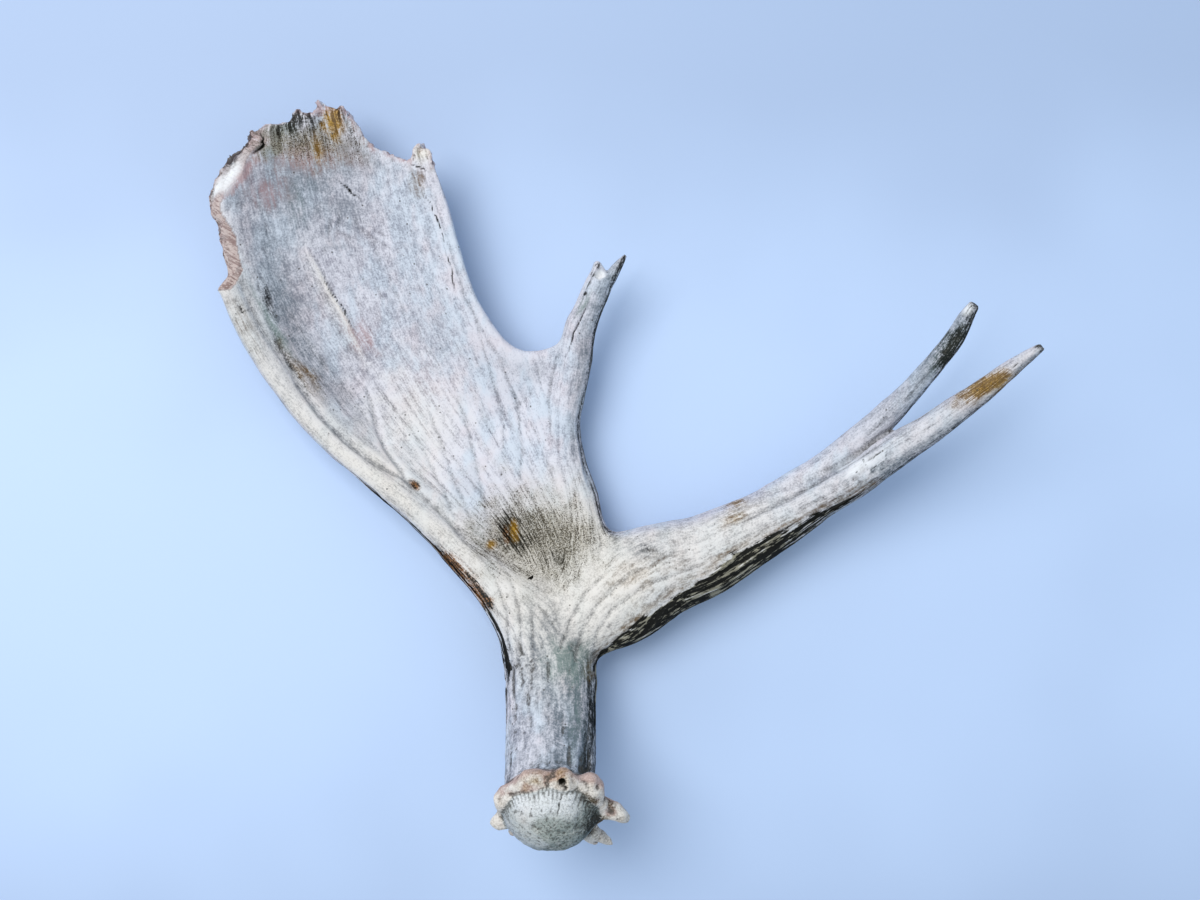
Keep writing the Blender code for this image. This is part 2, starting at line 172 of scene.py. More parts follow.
# The ring's knobs: degrees round it from its right side and downwards, half width in degrees, swelling.
RING_KNOBS = (
    (-160, 14, 0.35), (-112, 16, 0.45), (-76, 9, 0.35), (-32, 13, 0.55),
    (12, 15, 0.30), (58, 13, 0.25), (100, 18, 0.30), (150, 14, 0.35),
)
SEAL_RADIUS, SEAL_HEIGHT = 0.0275, 0.0250
SEAL_EDGE, SEAL_EDGE_HALF_WIDTH = 0.0262, 0.0014
SEAL_LINES = 60
# Each pearl runs from a point in the ring to its own tip: x, y, z and radius of both, in millimetres.
PEARLS = metres(
    (-15, -176.5, 91, 7, -7.6, -172.8, 93.5, 6.4),
    (-10, -187, 84, 7, 10, -198.5, 77, 4.5),
    (-12, -207, 66, 6, 1.5, -217, 61.5, 1.8),
    (-16, -208, 64, 4.5, -8, -217, 60, 1.8),
    (-56, -197, 76, 6, -68.2, -201.6, 74.5, 4),
    (-53, -204, 69, 5.5, -57.5, -210.5, 66, 3.2),
)
HOLED_PEARL = (-0.0275, -0.1700, 0.1015)

# Where the branches part, seen from above: a point clear of the bone on each cut.
LEFT_OF_PALM_ROOT = (-0.1200, -0.1050)
RIGHT_OF_CROWN = (0.0140, -0.0110)
BELOW_BROW, RIGHT_OF_BURR = (0.0010, -0.1500), (0.4000, -0.1500)
PALM_BAY, RIGHT_OF_PALM_TINE = (-0.0430, 0.0770), (0.0300, 0.0660)
BROW_FORK = (0.1665, 0.0260)
BEFORE_FRONT_TINE, BEHIND_REAR_TINE = (0.1850, -0.0070), (0.1430, 0.0480)
BETWEEN_TINES = (0.2200, 0.0800)
FAR = 0.4
CUTS = (
    (CROWN, LEFT_OF_PALM_ROOT),
    (CROWN, BELOW_BROW),
    (CROWN, RIGHT_OF_CROWN),
    (PALM_BAY, RIGHT_OF_PALM_TINE),
    (BROW_FORK, BEFORE_FRONT_TINE),
    (BROW_FORK, BEHIND_REAR_TINE),
    (BROW_FORK, BETWEEN_TINES),
    (BELOW_BROW, RIGHT_OF_BURR),
)
# What each branch covers, seen from above and anticlockwise.
OUTLINES = {
    "burr_and_beam": (CROWN, LEFT_OF_PALM_ROOT, (-FAR, -FAR), (FAR, -FAR), RIGHT_OF_BURR, BELOW_BROW),
    "palm": (
        CROWN, RIGHT_OF_CROWN, RIGHT_OF_PALM_TINE, PALM_BAY, (PALM_BAY[0], FAR),
        (-FAR, FAR), (-FAR, LEFT_OF_PALM_ROOT[1]), LEFT_OF_PALM_ROOT,
    ),
    "palm_tine": (PALM_BAY, RIGHT_OF_PALM_TINE, (RIGHT_OF_PALM_TINE[0], FAR), (PALM_BAY[0], FAR)),
    "brow_branch": (CROWN, BELOW_BROW, BEFORE_FRONT_TINE, BROW_FORK, BEHIND_REAR_TINE, RIGHT_OF_CROWN),
    "brow_tine_front": (BROW_FORK, BEFORE_FRONT_TINE, (FAR, -FAR), (FAR, BETWEEN_TINES[1]), BETWEEN_TINES),
    "brow_tine_rear": (BROW_FORK, BETWEEN_TINES, (FAR, FAR), (BEHIND_REAR_TINE[0], FAR), BEHIND_REAR_TINE),
}

# Where branches meet, the skin is drawn smooth: x, y and reach, in millimetres.
SOFT_FORKS = metres(
    (-201, 113, 19), (-12, -70, 64), (5, -37, 28), (-6.8, -111.8, 20), (-26, 64, 33), (70, -35, 30),
)

# The crease between the ridge and the palm, in millimetres like every line after it.
CREASE = metres(
    (-205, 93), (-197.2, 76.1), (-184.2, 49.4), (-172.3, 31.6), (-157.5, 16.8), (-143.1, 5.6), (-130, -2.2),
    (-120.5, -7.5), (-114.6, -14.1), (-103.9, -23), (-94.9, -31.9), (-86, -42.6), (-75.3, -50.3),
    (-65.2, -62.2),
)
# The upper edge of the brow's black flank; it reaches from here to the underside.
FLANK_EDGE = metres(
    (-10, -118), (-3.4, -109.5), (9.1, -98.5), (21.6, -86.8), (38.3, -75.2), (55.6, -65.3), (71.1, -51.2),
    (80.6, -47.6), (96.5, -39.8), (108.1, -34.1), (119.3, -28), (135.1, -21), (152.1, -11.8),
)
FLANK = FLANK_EDGE + metres((170, -70), (-10, -150))

# Hollow lines that fan out from the crown: their points in plan, half width and depth, in millimetres.
FAN_GROOVES = (
    (metres((-148.5, 48.5), (-142.4, 27.3), (-135.7, 12.7), (-123.6, -2.5), (-118.1, -12.2)), 1.4, 1.9),
    (metres((-106, 165.1), (-95.4, 129.5), (-85.9, 99.8), (-71.6, 73.2), (-58.6, 57.2)), 1.6, 0.6),
    (metres((-80.3, -37.6), (-94.3, -7.3), (-103.4, 17), (-112.5, 41.2)), 1.5, 0.6),
    (metres((-71.7, -40.5), (-79, -7.2), (-86.2, 23), (-94.1, 47.2)), 1.6, 0.7),
    (metres((-63.5, -1.1), (-64.7, 28.9), (-72.5, 59), (-79.7, 86), (-85.7, 107.1)), 1.4, 0.5),
    (metres((-54.6, -19.2), (-53.4, 10.9), (-57, 41), (-66.6, 65.1)), 1.5, 0.6),
    (metres((-35.1, 16.9), (-37.5, 40.8), (-34.5, 58.8), (-30.3, 70.8)), 1.3, 0.5),
    (metres((-91, -33), (-101, -12), (-112, 8), (-126, 33)), 1.4, 0.6),
    (metres((78.3, -30), (104.5, -16.5), (127.9, -1.9), (148.3, 10.9), (166.4, 24.9)), 2.2, 1.6),
    (CREASE, 1.7, 1.3),
    (metres((-45.1, -115.3), (-46.3, -98), (-46.3, -80.1)), 1.6, 0.35),
    (metres((-22.2, -115.3), (-17.2, -95.1), (-7, -77.2), (10.6, -61.9), (36.2, -49.3)), 1.8, 0.5),
    (metres((-10.8, -110.4), (-8.3, -95.1), (0.6, -82.4), (21, -67.2), (51.5, -57)), 1.6, 0.5),
    (metres((-29.9, -105.3), (-24.8, -90.1), (-14.6, -72.2), (0.6, -57)), 1.6, 0.4),
    (metres((-60.4, -107.7), (-61.7, -84.8), (-68, -64.6), (-80.9, -46.6)), 1.5, 0.5),
    (metres((-52.8, -107.7), (-54.1, -84.8), (-58.1, -67.2), (-68, -51.9)), 1.5, 0.5),
)
# One low raised line on the palm, pale along its crest.
PALM_VEIN = metres(
    (-182.5, 132.4), (-175.2, 119.6), (-167.9, 104.4), (-160, 91.7), (-154.6, 78.9), (-148, 64),
)
RIGHT_OF_VEIN = PALM_VEIN + metres((-100, 78.9), (-100, 132.4))
# Narrow open cracks, dark inside: their points in plan, half width and depth, in millimetres.
CRACKS = (
    (metres((-162.6, 171.9), (-157.2, 167.1), (-151.3, 162.3), (-147.1, 159.4)), 0.65, 1.1),
    (metres((-110.2, 164.3), (-104.9, 151.3), (-100.2, 141.9), (-97.3, 129.5)), 0.45, 0.9),
    (metres((-97.3, 129.5), (-94.9, 117.1), (-92.5, 105.3)), 0.55, 1.1),
    (metres((-13.5, 98.2), (-17.6, 89.4), (-21.7, 81.1), (-25.3, 69.9), (-27.1, 66.4)), 0.55, 1.4),
    (metres((-221.1, 91.6), (-216.5, 91.6), (-212.4, 94)), 0.4, 0.5),
    (metres((-215.9, 91.6), (-218.2, 96.3)), 0.4, 0.8),
    (metres((-208.1, 200.3), (-203.4, 190.9), (-206.3, 187.4), (-210.5, 183.9)), 1.0, 2.6),
    (metres((-118, 179), (-110.5, 176.5), (-107.5, 174)), 0.6, 1.0),
    (metres((220.5, 56), (223.5, 59)), 0.5, 0.8),
    (metres((-174.4, 119.6), (-167, 104.4), (-159.1, 91.7), (-153.6, 78.9)), 0.45, 0.5),
    (metres((-28, -179), (-29.2, -185), (-30, -189.5)), 0.45, 0.7),
)

# The splinters of the broken face: the way across them, the way along them and how far apart they lie.
SPLINTERS_ACROSS, SPLINTERS_ALONG = np.array((0.5, 0.87, 0.0)), np.array((0.87, -0.5, 0.0))
SPLINTER_PITCH = 2.3 * MM

# Holes: the middle of the mouth, half width and depth in millimetres, the way in, and how dark it is inside.
HOLES = (
    ((-27.4, -171.2, 101), 2.1, 5.0, (0.1, 0.35, -1.0), 1.0),
    ((-26.2, -173.8, 101), 1.5, 4.0, (0.1, 0.35, -1.0), 1.0),
    ((-6.6, 114.6, 45), 2.7, 4.5, (-0.20, -0.40, -0.90), 0.0),
    ((-117.1, -10.1, 33), 1.4, 2.4, (0.2, 0.3, -1.0), 0.0),
)

# Patches seen from above: x, y and two half lengths in millimetres, and the turn in degrees. The chipped
# stretch of the front tine is one, and each stain is another, with its strength.
CHIPPED = (146, 0, 20, 7, 36)
STAINS = {
    "umber": (
        (-44, -41, 36, 26, 0, 1), (-62, -39, 15, 15, 10, 1), (-28, -43, 15, 19, 0, 0.8),
        (210, 47, 15, 5.2, 32, 0.45), (-180, 193, 32, 12, 0, 0.9),
    ),
    "rust": (
        (-62.5, -40, 2, 6, 8, 0.7), (-117.1, -10.1, 5, 2.6, -45, 1), (-92.5, -56.2, 17, 5, -45, 1),
        (-159, 209, 3, 8, 5, 0.5), (-76, -76, 15, 4, -50, 0.8),
    ),
    "ochre": (
        (-57.5, -36.4, 2.4, 7, 8, 1), (-71.2, -45.7, 3.6, 3.2, 0, 1), (72.8, -16.7, 3.2, 2.4, 0, 0.6),
        (73.5, -29, 11, 5, 20, 0.5), (75.5, -20.5, 8, 4, 20, 0.5), (208.4, 47, 16.5, 6.2, 32, 1),
        (210, 49, 9, 4, 30, 0.8), (-162.9, 204.8, 6.5, 11.5, 0, 1), (-173.5, 186, 4.5, 9, 10, 0.6),
        (-111, 186, 8, 7, 0, 0.3), (-113, 169, 7, 11, 0, 0.35), (-180, 56, 4, 12, 38, 0.4),
        (3, -64, 23, 20, 0, 0.18), (-49, -192, 8, 11, 0, 0.3), (30, -56, 30, 11, 30, 0.22),
        (-185, 56, 3, 25, 34, 0.3), (-42, -170.4, 7, 5, 0, 0.2), (-27.5, -168, 5.5, 4.5, 0, 0.28),
        (-215, 85, 10, 30, 24, 0.25),
    ),
    "moss": (
        (-196, 199, 14, 8, 20, 0.9), (-202, 187, 8, 6, 0, 0.7), (-185, 160, 12, 22, 0, 0.25),
        (-17, 96, 3, 12, -30, 0.5), (-112, 186, 8, 8, 0, 0.35), (-201, 86, 3.6, 26, 28, 0.7),
        (-23.9, -113, 13, 13, 0, 0.8), (-78, -37, 8, 14, 30, 0.35), (193, 70, 20, 6, 56, 0.6),
        (-20, -145, 10, 30, 0, 0.35),
    ),
    "rose": (
        (-203, 164, 13, 12, -25, 0.45), (-180, 185, 30, 12, 0, 0.55), (-203, 196, 10, 6, 0, 0.3),
        (-172, 212, 20, 4, 0, 0.8), (-113, 50, 23, 30, 20, 0.18), (-150, 80, 12, 14, 20, 0.45),
        (-208.5, 192, 7, 8, 0, 1), (-217, 171.5, 12, 2.8, 48, 1), (-226, 162, 8, 2.2, 62, 0.8),
    ),
    "chalk": (
        (212, 44, 12, 2, 34, 0.6), (-222.5, 173.5, 15, 4.6, 56, 1), (-231, 164, 7, 3, 60, 0.9),
        (-6.6, 114.2, 3.2, 2.6, 20, 1), (201, 90.5, 4.5, 2.6, 58, 0.8), (143, 1, 15, 5, 36, 0.6),
    ),
    "grey": (
        (-234.5, 160, 10, 2.8, 80, 0.8), (18, -48, 18, 6, 0, 0.5), (193, 70, 23, 8, 56, 1),
        (185, 56, 12, 26, -42, 0.3), (-175, 182, 45, 22, 6, 0.75), (-190, 155, 26, 27, 0, 0.65),
        (-158, 154, 13, 17, 0, 0.45), (-198, 115, 13, 30, 14, 0.55), (-188, 80, 11, 40, 26, 0.75),
        (-162, 45, 8, 26, 45, 0.5), (0, -208, 8, 8, 0, 0.6), (-53.8, 60.4, 15, 7, -20, 0.35),
        (-212, 80, 14, 36, 25, 0.5),
    ),
    "cream": (
        (-120, 25, 30, 35, 20, 0.6), (-110.5, 186, 8.5, 7.5, 0, 1),
    ),
    "soil": (
        (-61, -34.5, 8, 13, 8, 0.8), (-51, -44, 10, 9, 0, 0.4), (-33, -52, 8, 8, 0, 0.4),
        (-190, 201, 17, 7, 12, 0.5), (-183, 207, 10, 5, 0, 0.8), (-7.6, 119.5, 2.2, 2.2, 0, 0.6),
        (-15, 103, 1.2, 1.2, 0, 0.9), (-13, 109, 1.2, 3, -30, 0.6), (-11, 114.5, 1.4, 2, -30, 0.6),
        (-235, 159, 9, 2, 80, 0.5), (-204, 99, 3.6, 19, 18, 0.48), (-189, 60, 2.6, 26, 32, 0.5),
        (20, -47, 9, 4, 0, 0.3), (196.5, 72.5, 19, 6, 58, 1), (205.5, 95, 4, 3.4, 0, 1),
        (235, 69.5, 4.6, 3.6, 0, 1), (-16.5, -190, 10, 16, 0, 0.2), (-5, -199, 7, 4, -30, 0.6),
        (10.2, -202, 3, 3, 0, 0.9), (0, -189, 3, 7, 30, 0.5), (-6, -204, 8, 10, 0, 0.35),
        # On the next line, the patch at -1, -113, in the corner where the brow leaves the beam, and the one at
        # -11.5, -183, under the burr's big pearl, are painted shadow.
        (-1, -113, 6, 6, 40, 0.7), (-2, -20, 2, 14, 12, 0.4), (-11.5, -183, 6, 2.2, -20, 0.7),
    ),
}

# The studio: the soft light's sides, place and colour, the sky's colour, and where the camera hangs in plan.
KEY_SIDES, KEY_PLACE, KEY_COLOUR = (1.7, 1.5), (-0.95, 0.75, 2.2), (1.0, 0.985, 0.96)
SKY_COLOUR = (0.76, 0.88, 1.0, 1.0)
CAMERA_SPOT = (-0.0081, 0.0125)

# The paths that the fibres of each branch follow.
GUIDES = {
    "beam": BEAM_AND_RIDGE,
    "brow": FIBRES_TO_BROW + BROW_STEM_AND_FRONT_TINE[2:],
    "rear": REAR_TINE,
    "tine": FIBRES_TO_PALM_TINE + PALM_TINE,
}
Place = namedtuple("Place", "along side grain pull")
Zones = namedtuple(
    "Zones", "up top under seal ring plain shaft flank left_flank rim face fan height radius angle"
)
Marks = namedtuple("Marks", "trough grooves cracks holes vein")


# ---------------------------------------------------------------- numbers on whole arrays


def unit(vectors):
    """Each vector divided by its length."""
    return vectors / np.linalg.norm(vectors, axis=-1, keepdims=True)


def dot(a, b):
    """The sum of the products of two rows' numbers."""
    return np.einsum("...i,...i->...", a, b)


def smooth_step(low, high, value):
    """0 before low and 1 after high, with 3t^2 - 2t^3 between them."""
    t = np.clip((value - low) / (high - low), 0.0, 1.0)
    return t * t * (3 - 2 * t)


def bell(value, width):
    """exp(-(value / width)^2): 1 where the value is 0, and almost 0 beyond twice the width."""
    return np.exp(-((value / width) ** 2))


def taper(share, margin, power):
    """sin(pi share)^power: 1 half way along a line, falling towards both ends."""
    return np.sin(np.pi * np.clip(share, margin, 1 - margin)) ** power


def lengths(points):
    """How far along its line each point lies."""
    return np.concatenate([[0.0], np.cumsum(np.linalg.norm(np.diff(points, axis=0), axis=1))])


def curve_through(points, count):
    """Hermite curve through the rows, read at evenly spaced lengths."""
    rows = np.array(points, float)
    at = lengths(rows[:, :3])
    slopes = np.gradient(rows, at, axis=0)
    wanted = np.linspace(0.0, at[-1], count)
    k = np.clip(np.searchsorted(at, wanted, side="right") - 1, 0, len(at) - 2)
    span = (at[k + 1] - at[k])[:, None]
    s = (wanted - at[k])[:, None] / span
    return (
        (2 * s**3 - 3 * s**2 + 1) * rows[k]
        + (s**3 - 2 * s**2 + s) * span * slopes[k]
        + (3 * s**2 - 2 * s**3) * rows[k + 1]
        + (s**3 - s**2) * span * slopes[k + 1]
    )


def corners_through(points, count):
    """Straight lines between the rows, read at evenly spaced lengths."""
    rows = np.array(points, float)
    wanted = np.linspace(0.0, lengths(rows)[-1], count)
    return np.column_stack([np.interp(wanted, lengths(rows), column) for column in rows.T])


def lattice(cell, seed):
    """A repeatable fraction for each whole-numbered cell: its counts times large odd numbers, mixed by
    shifts."""
    mixed = cell @ np.array((374761393, 668265263, 2246822519)) + seed * 3266489917
    mixed = mixed.astype(np.uint32)
    mixed = (mixed ^ (mixed >> np.uint32(13))) * np.uint32(1274126177)
    return ((mixed ^ (mixed >> np.uint32(16))) & np.uint32(0xFFFFFF)) / float(0xFFFFFF)


def noise(points, size, seed):
    """Value noise from -1 to 1: random corners of a lattice of that size, blended by smooth steps."""
    spot = points / size
    cell = np.floor(spot).astype(np.int64)
    share = spot - cell
    share = share * share * (3 - 2 * share)
    total = 0.0
    for corner in np.ndindex(2, 2, 2):
        weight = np.prod(np.where(corner, share, 1 - share), axis=1)
        total = total + weight * lattice(cell + np.array(corner), seed)
    return 2 * total - 1


def rough_noise(points, size, seed, octaves=3):
    """Value noise with finer noise added on it: each layer has half the size and half the height."""
    return sum(noise(points, size / 2**i, seed + i) / 2**i for i in range(octaves))


def pits(points, size, seed):
    """1 in the middle of a scattered pit, 0 outside: how near a point is to a random place in its cells."""
    spot = points / size
    cell = np.floor(spot).astype(np.int64)
    nearest = np.full(len(points), 9.0)
    for corner in np.ndindex(3, 3, 3):
        other = cell + np.array(corner) - 1
        middle = other + np.column_stack([lattice(other, seed + axis) for axis in range(3)])
        nearest = np.minimum(nearest, np.linalg.norm(spot - middle, axis=1))
    return np.clip(1 - nearest / 0.62, 0.0, 1.0)


# ---------------------------------------------------------------- lofts


def branch(stations, rings, sides):
    """Ellipses square to a path: centre + width cos(a) sideways + height sin(a) upwards."""
    rows = curve_through(stations, rings)
    centre, width, height = rows[:, :3], rows[:, 3], rows[:, 4]
    along = unit(np.gradient(centre, axis=0))
    aside = unit(np.cross(along, UP))
    over = np.cross(aside, along)
    angle = np.linspace(0.0, 2 * np.pi, sides, endpoint=False)
    return (
        centre[:, None]
        + (width[:, None] * np.cos(angle))[..., None] * aside[:, None]
        + (height[:, None] * np.sin(angle))[..., None] * over[:, None]
    )


def ragged(line, size, height, seed):
    """The line with each point moved in plan by rough noise, and its two ends left in place."""
    points = np.array(line)
    ends = np.sin(np.linspace(0.0, np.pi, len(points))) ** 0.3
    for axis in (0, 1):
        points[:, axis] += height * ends * rough_noise(points, size, seed + 7 * axis, 4)
    return points


def palm_blade(rows=260, across=300):
    """A Coons patch between the four sides, with a half-round rim where an edge isn't broken. It sinks to a
    bowl by the depth at its distance from the crown, times 1 - exp(-(d / reach)^2) for its distance d from
    either edge."""
    u = (1 - np.cos(np.linspace(0.0, np.pi, across + 1))) / 2
    v = np.linspace(0.0, 1.0, rows)[:, None]
    left = corners_through(np.concatenate([curve_through(BLADE_LEFT, 90), BROKEN_LEFT]), rows)
    right = curve_through(BLADE_RIGHT, rows)
    fine = 1500
    nearest = np.round(u * (fine - 1)).astype(int)
    low, corners = curve_through(BLADE_ROOT, fine)[nearest], corners_through(BROKEN_RIM, fine)
    high, crumbs = corners[nearest], (ragged(corners, 4 * MM, 0.8 * MM, 3) - corners)[nearest]
    u3, v3 = u[None, :, None], v[:, :, None]
    middle = (1 - u3) * left[:, None] + u3 * right[:, None] + (1 - v3) * low[None] + v3 * high[None]
    middle -= (1 - u3) * (1 - v3) * left[0] + u3 * (1 - v3) * right[0]
    middle -= (1 - u3) * v3 * left[-1] + u3 * v3 * right[-1]
    flat = middle.reshape(-1, 3)
    far, depth, thickness = curve_through(BOWL, 120).T
    from_crown = np.linalg.norm(middle[..., :2] - CROWN, axis=-1)
    wall = 1 - bell(from_line(flat, left[::3])[0], BOWL_LEFT_REACH)
    slope = 1 - bell(from_line(flat, BLADE_ROOT[3:] + BLADE_RIGHT)[0], BOWL_RIGHT_REACH)
    middle[..., 2] -= np.interp(from_crown, far, depth) * (wall * slope).reshape(rows, -1)
    square = np.cross(np.gradient(middle, axis=1), np.gradient(middle, axis=0))
    steep = square[..., 2] / (np.linalg.norm(square, axis=-1) + 1e-12)
    middle += crumbs * v3**12
    half = np.interp(from_crown, far, thickness) / 2 / np.clip(np.abs(steep), 0.6, 1.0)
    width = np.linalg.norm(right - left, axis=1)[:, None]
    at = lengths(left)
    broken_side = (u < 0.5) * (at[:, None] > at[-1] - lengths(np.array(BROKEN_LEFT))[-1])
    inward = np.clip(np.minimum(u, 1 - u) * width / half + broken_side, 0.0, 1.0)
    half = (half * np.sqrt(1 - (1 - inward) ** 2))[..., None]
    upper, lower = middle + half * UP, middle - half * UP
    return np.concatenate([upper, lower[:, -2:0:-1]], axis=1)


def burr_frame():
    """The beam's axis at the burr, and two directions across it: to the side and up."""
    axis = np.array((0.0, -np.cos(BEAM_END_RISE), np.sin(BEAM_END_RISE)))
    aside = np.array((1.0, 0.0, 0.0))
    return axis, aside, np.cross(aside, axis)


def burr_ring(steps=220, sides=48):
    """A torus with ring angle t and section angle a. It swells at each knob by exp(-(t / half)^2)."""
    axis, aside, over = burr_frame()
    t = np.linspace(0.0, 2 * np.pi, steps, endpoint=False)[:, None, None]
    a = np.linspace(0.0, 2 * np.pi, sides, endpoint=False)[None, :, None]
    outward = np.cos(t) * aside + np.sin(t) * over
    thick = RING_HALF_THICKNESS * (0.88 + 0 * t)
    for middle, half, swelling in RING_KNOBS:
        off = (np.degrees(t) - middle + 180) % 360 - 180
        thick += RING_HALF_THICKNESS * swelling * bell(off, half)
    return BURR_CENTRE + outward * (RING_RADIUS + thick * np.cos(a)) + axis * thick * np.sin(a)


def seal_dome(rings=60, sides=120):
    """Half an ellipsoid on the beam's axis, from inside the ring out to its crown."""
    axis, aside, over = burr_frame()
    rise = np.linspace(-0.35, 0.47, rings)[:, None, None] * np.pi
    a = np.linspace(0.0, 2 * np.pi, sides, endpoint=False)[None, :, None]
    outward = np.cos(a) * aside + np.sin(a) * over
    return BURR_CENTRE + axis * SEAL_HEIGHT * np.sin(rise) + outward * SEAL_RADIUS * np.cos(rise)


def pearl(base, tip):
    """A round-ended peg from one point and radius to another."""
    share = np.linspace(0.0, 1.0, 9)[:, None]
    rows = np.array(base) * (1 - share) + np.array(tip) * share
    rows[:, 3] *= np.sqrt(1 - (np.clip(share[:, 0] - 0.6, 0, None) / 0.45) ** 2)
    return branch(np.column_stack([rows, rows[:, 3]]), 24, 28)


def loft_faces(rings, sides, closed_path):
    """Quads between neighbouring rings, and a strip across each end of an open row of rings, from each point
    to the one that faces it."""
    steps = rings if closed_path else rings - 1
    i, j = np.meshgrid(np.arange(steps), np.arange(sides), indexing="ij")
    here, there = i * sides, (i + 1) % rings * sides
    k = (j + 1) % sides
    quads = np.stack([here + j, here + k, there + k, there + j], axis=-1).reshape(-1, 4).tolist()
    if closed_path:
        return quads
    half = sides // 2
    strip = [[0, 1, sides - 1]] + [[j, j + 1, sides - j - 1, sides - j] for j in range(1, half - 1)]
    strip.append([half - 1, half, half + 1])
    last = (rings - 1) * sides
    return quads + [face[::-1] for face in strip] + [[last + corner for corner in face] for face in strip]


def lofts():
    """Every loft of the antler, each with whether its rings close on themselves."""
    tubes = (BEAM_AND_RIDGE, BROW_STEM_AND_FRONT_TINE, REAR_TINE, PALM_TINE, TINE_LOBE, TINE_SPIKE)
    open_lofts = [branch(stations, 160, 96) for stations in tubes]
    open_lofts += [palm_blade(), seal_dome()]
    open_lofts += [pearl(row[:4], row[4:]) for row in PEARLS]
    return [(points, False) for points in open_lofts] + [(burr_ring(), True)]


def joined_lofts():
    """One object that holds every loft, overlapping where the branches meet."""
    points, faces = [], []
    for loft, closed_path in lofts():
        start = sum(len(row) for row in points)
        made = loft_faces(*loft.shape[:2], closed_path)
        faces += [[corner + start for corner in face] for face in made]
        points.append(loft.reshape(-1, 3))
    data = bpy.data.meshes.new("lofts")
    data.from_pydata(np.concatenate(points), [], faces)
    shell = bmesh.new()
    shell.from_mesh(data)
    bmesh.ops.recalc_face_normals(shell, faces=shell.faces[:])
    shell.to_mesh(data)
    shell.free()
    return new_object("lofts", data)


# ---------------------------------------------------------------- meshes


def new_object(name, data):
    """An object in the scene for a mesh, a light or a camera."""
    obj = bpy.data.objects.new(name, data)
    bpy.context.scene.collection.objects.link(obj)
    return obj


def read(data, kind, name, width, dtype=np.float32):
    """One value of every vertex, edge or face, as an array with that many columns."""
    items = getattr(data, kind)
    values = np.empty(len(items) * width, dtype)
    items.foreach_get(name, values)
    return values.reshape(-1, width)


def points_of(data):
    """Every vertex's place, one to a row."""
    return read(data, "vertices", "co", 3).astype(float)


def set_points(data, points):
    """Moves every vertex to its row's place."""
    data.vertices.foreach_set("co", points.astype(np.float32).ravel())
    data.update()


def normals_of(data):
    """Every vertex's outward direction, one to a row."""
    return read(data, "vertex_normals", "vector", 3).astype(float)


def store(data, name, values):
    """Keeps a number or a vector for each vertex as a named attribute."""
    kind, field = ("FLOAT_VECTOR", "vector") if values.ndim == 2 else ("FLOAT", "value")
    made = data.attributes.new(name, kind, "POINT")
    made.data.foreach_set(field, values.astype(np.float32).ravel())


def relaxed(points, edges, rounds, amount):
    """Each point moves a share of the way to the mean of its neighbours, again and again."""
    ends = np.concatenate([edges[:, 0], edges[:, 1]])
    others = np.concatenate([edges[:, 1], edges[:, 0]])
    order = np.argsort(ends, kind="stable")
    others = others[order]
    counts = np.bincount(ends, minlength=len(points))
    starts = np.concatenate([[0], np.cumsum(counts)[:-1]])
    for _ in range(rounds):
        mean = np.add.reduceat(points[others], starts, axis=0) / counts[:, None]
        points = points + amount[:, None] * (mean - points)
    return points


def biggest_part(data):
    """The mesh without its loose bits: each point takes the lowest number that it can reach along edges, and
    the most common number stays."""
    edges = read(data, "edges", "vertices", 2, np.int32)
    ends, others = np.concatenate([edges, edges[:, ::-1]]).T
    order = np.argsort(ends, kind="stable")
    others = others[order]
    starts = np.concatenate([[0], np.cumsum(np.bincount(ends))[:-1]])
    number, before = np.arange(len(data.vertices)), None
    while before is None or (number != before).any():
        before = number
        number = np.minimum(number, np.minimum.reduceat(number[others], starts))
        number = number[number]
    keep = number == np.bincount(number).argmax()
    quads = np.empty(len(data.loops), np.int32)
    data.loops.foreach_get("vertex_index", quads)
    quads = quads.reshape(-1, 4)
    quads = (np.cumsum(keep) - 1)[quads[keep[quads[:, 0]]]]
    whole = bpy.data.meshes.new("whole")
    whole.from_pydata(points_of(data)[keep], [], quads)
    bpy.data.meshes.remove(data)
    return whole


def bare_skin(shape):
    """The joined lofts as one closed skin of small quads, drawn smooth where the branches meet."""
    shell = joined_lofts()
    remesh = shell.modifiers.new("one_skin", "REMESH")
    remesh.mode = "VOXEL"
    remesh.voxel_size = shape.skin_size
    bpy.context.view_layer.update()
    data = bpy.data.meshes.new_from_object(shell.evaluated_get(bpy.context.evaluated_depsgraph_get()))
    bpy.data.objects.remove(shell)
    data = biggest_part(data)
    data.name = "antler_skin"
    edges = read(data, "edges", "vertices", 2, np.int32)
    points = relaxed(points_of(data), edges, 3, np.full(len(data.vertices), 0.5))
    soft = np.zeros(len(points))
    for x, y, reach in SOFT_FORKS:
        far = np.hypot(points[:, 0] - x, points[:, 1] - y)
        soft = np.maximum(soft, smooth_step(reach, 0.4 * reach, far))
    points = relaxed(points, edges, shape.fork_rounds, 0.5 * soft)
    set_points(data, points)
    return data


# ---------------------------------------------------------------- places on the bone


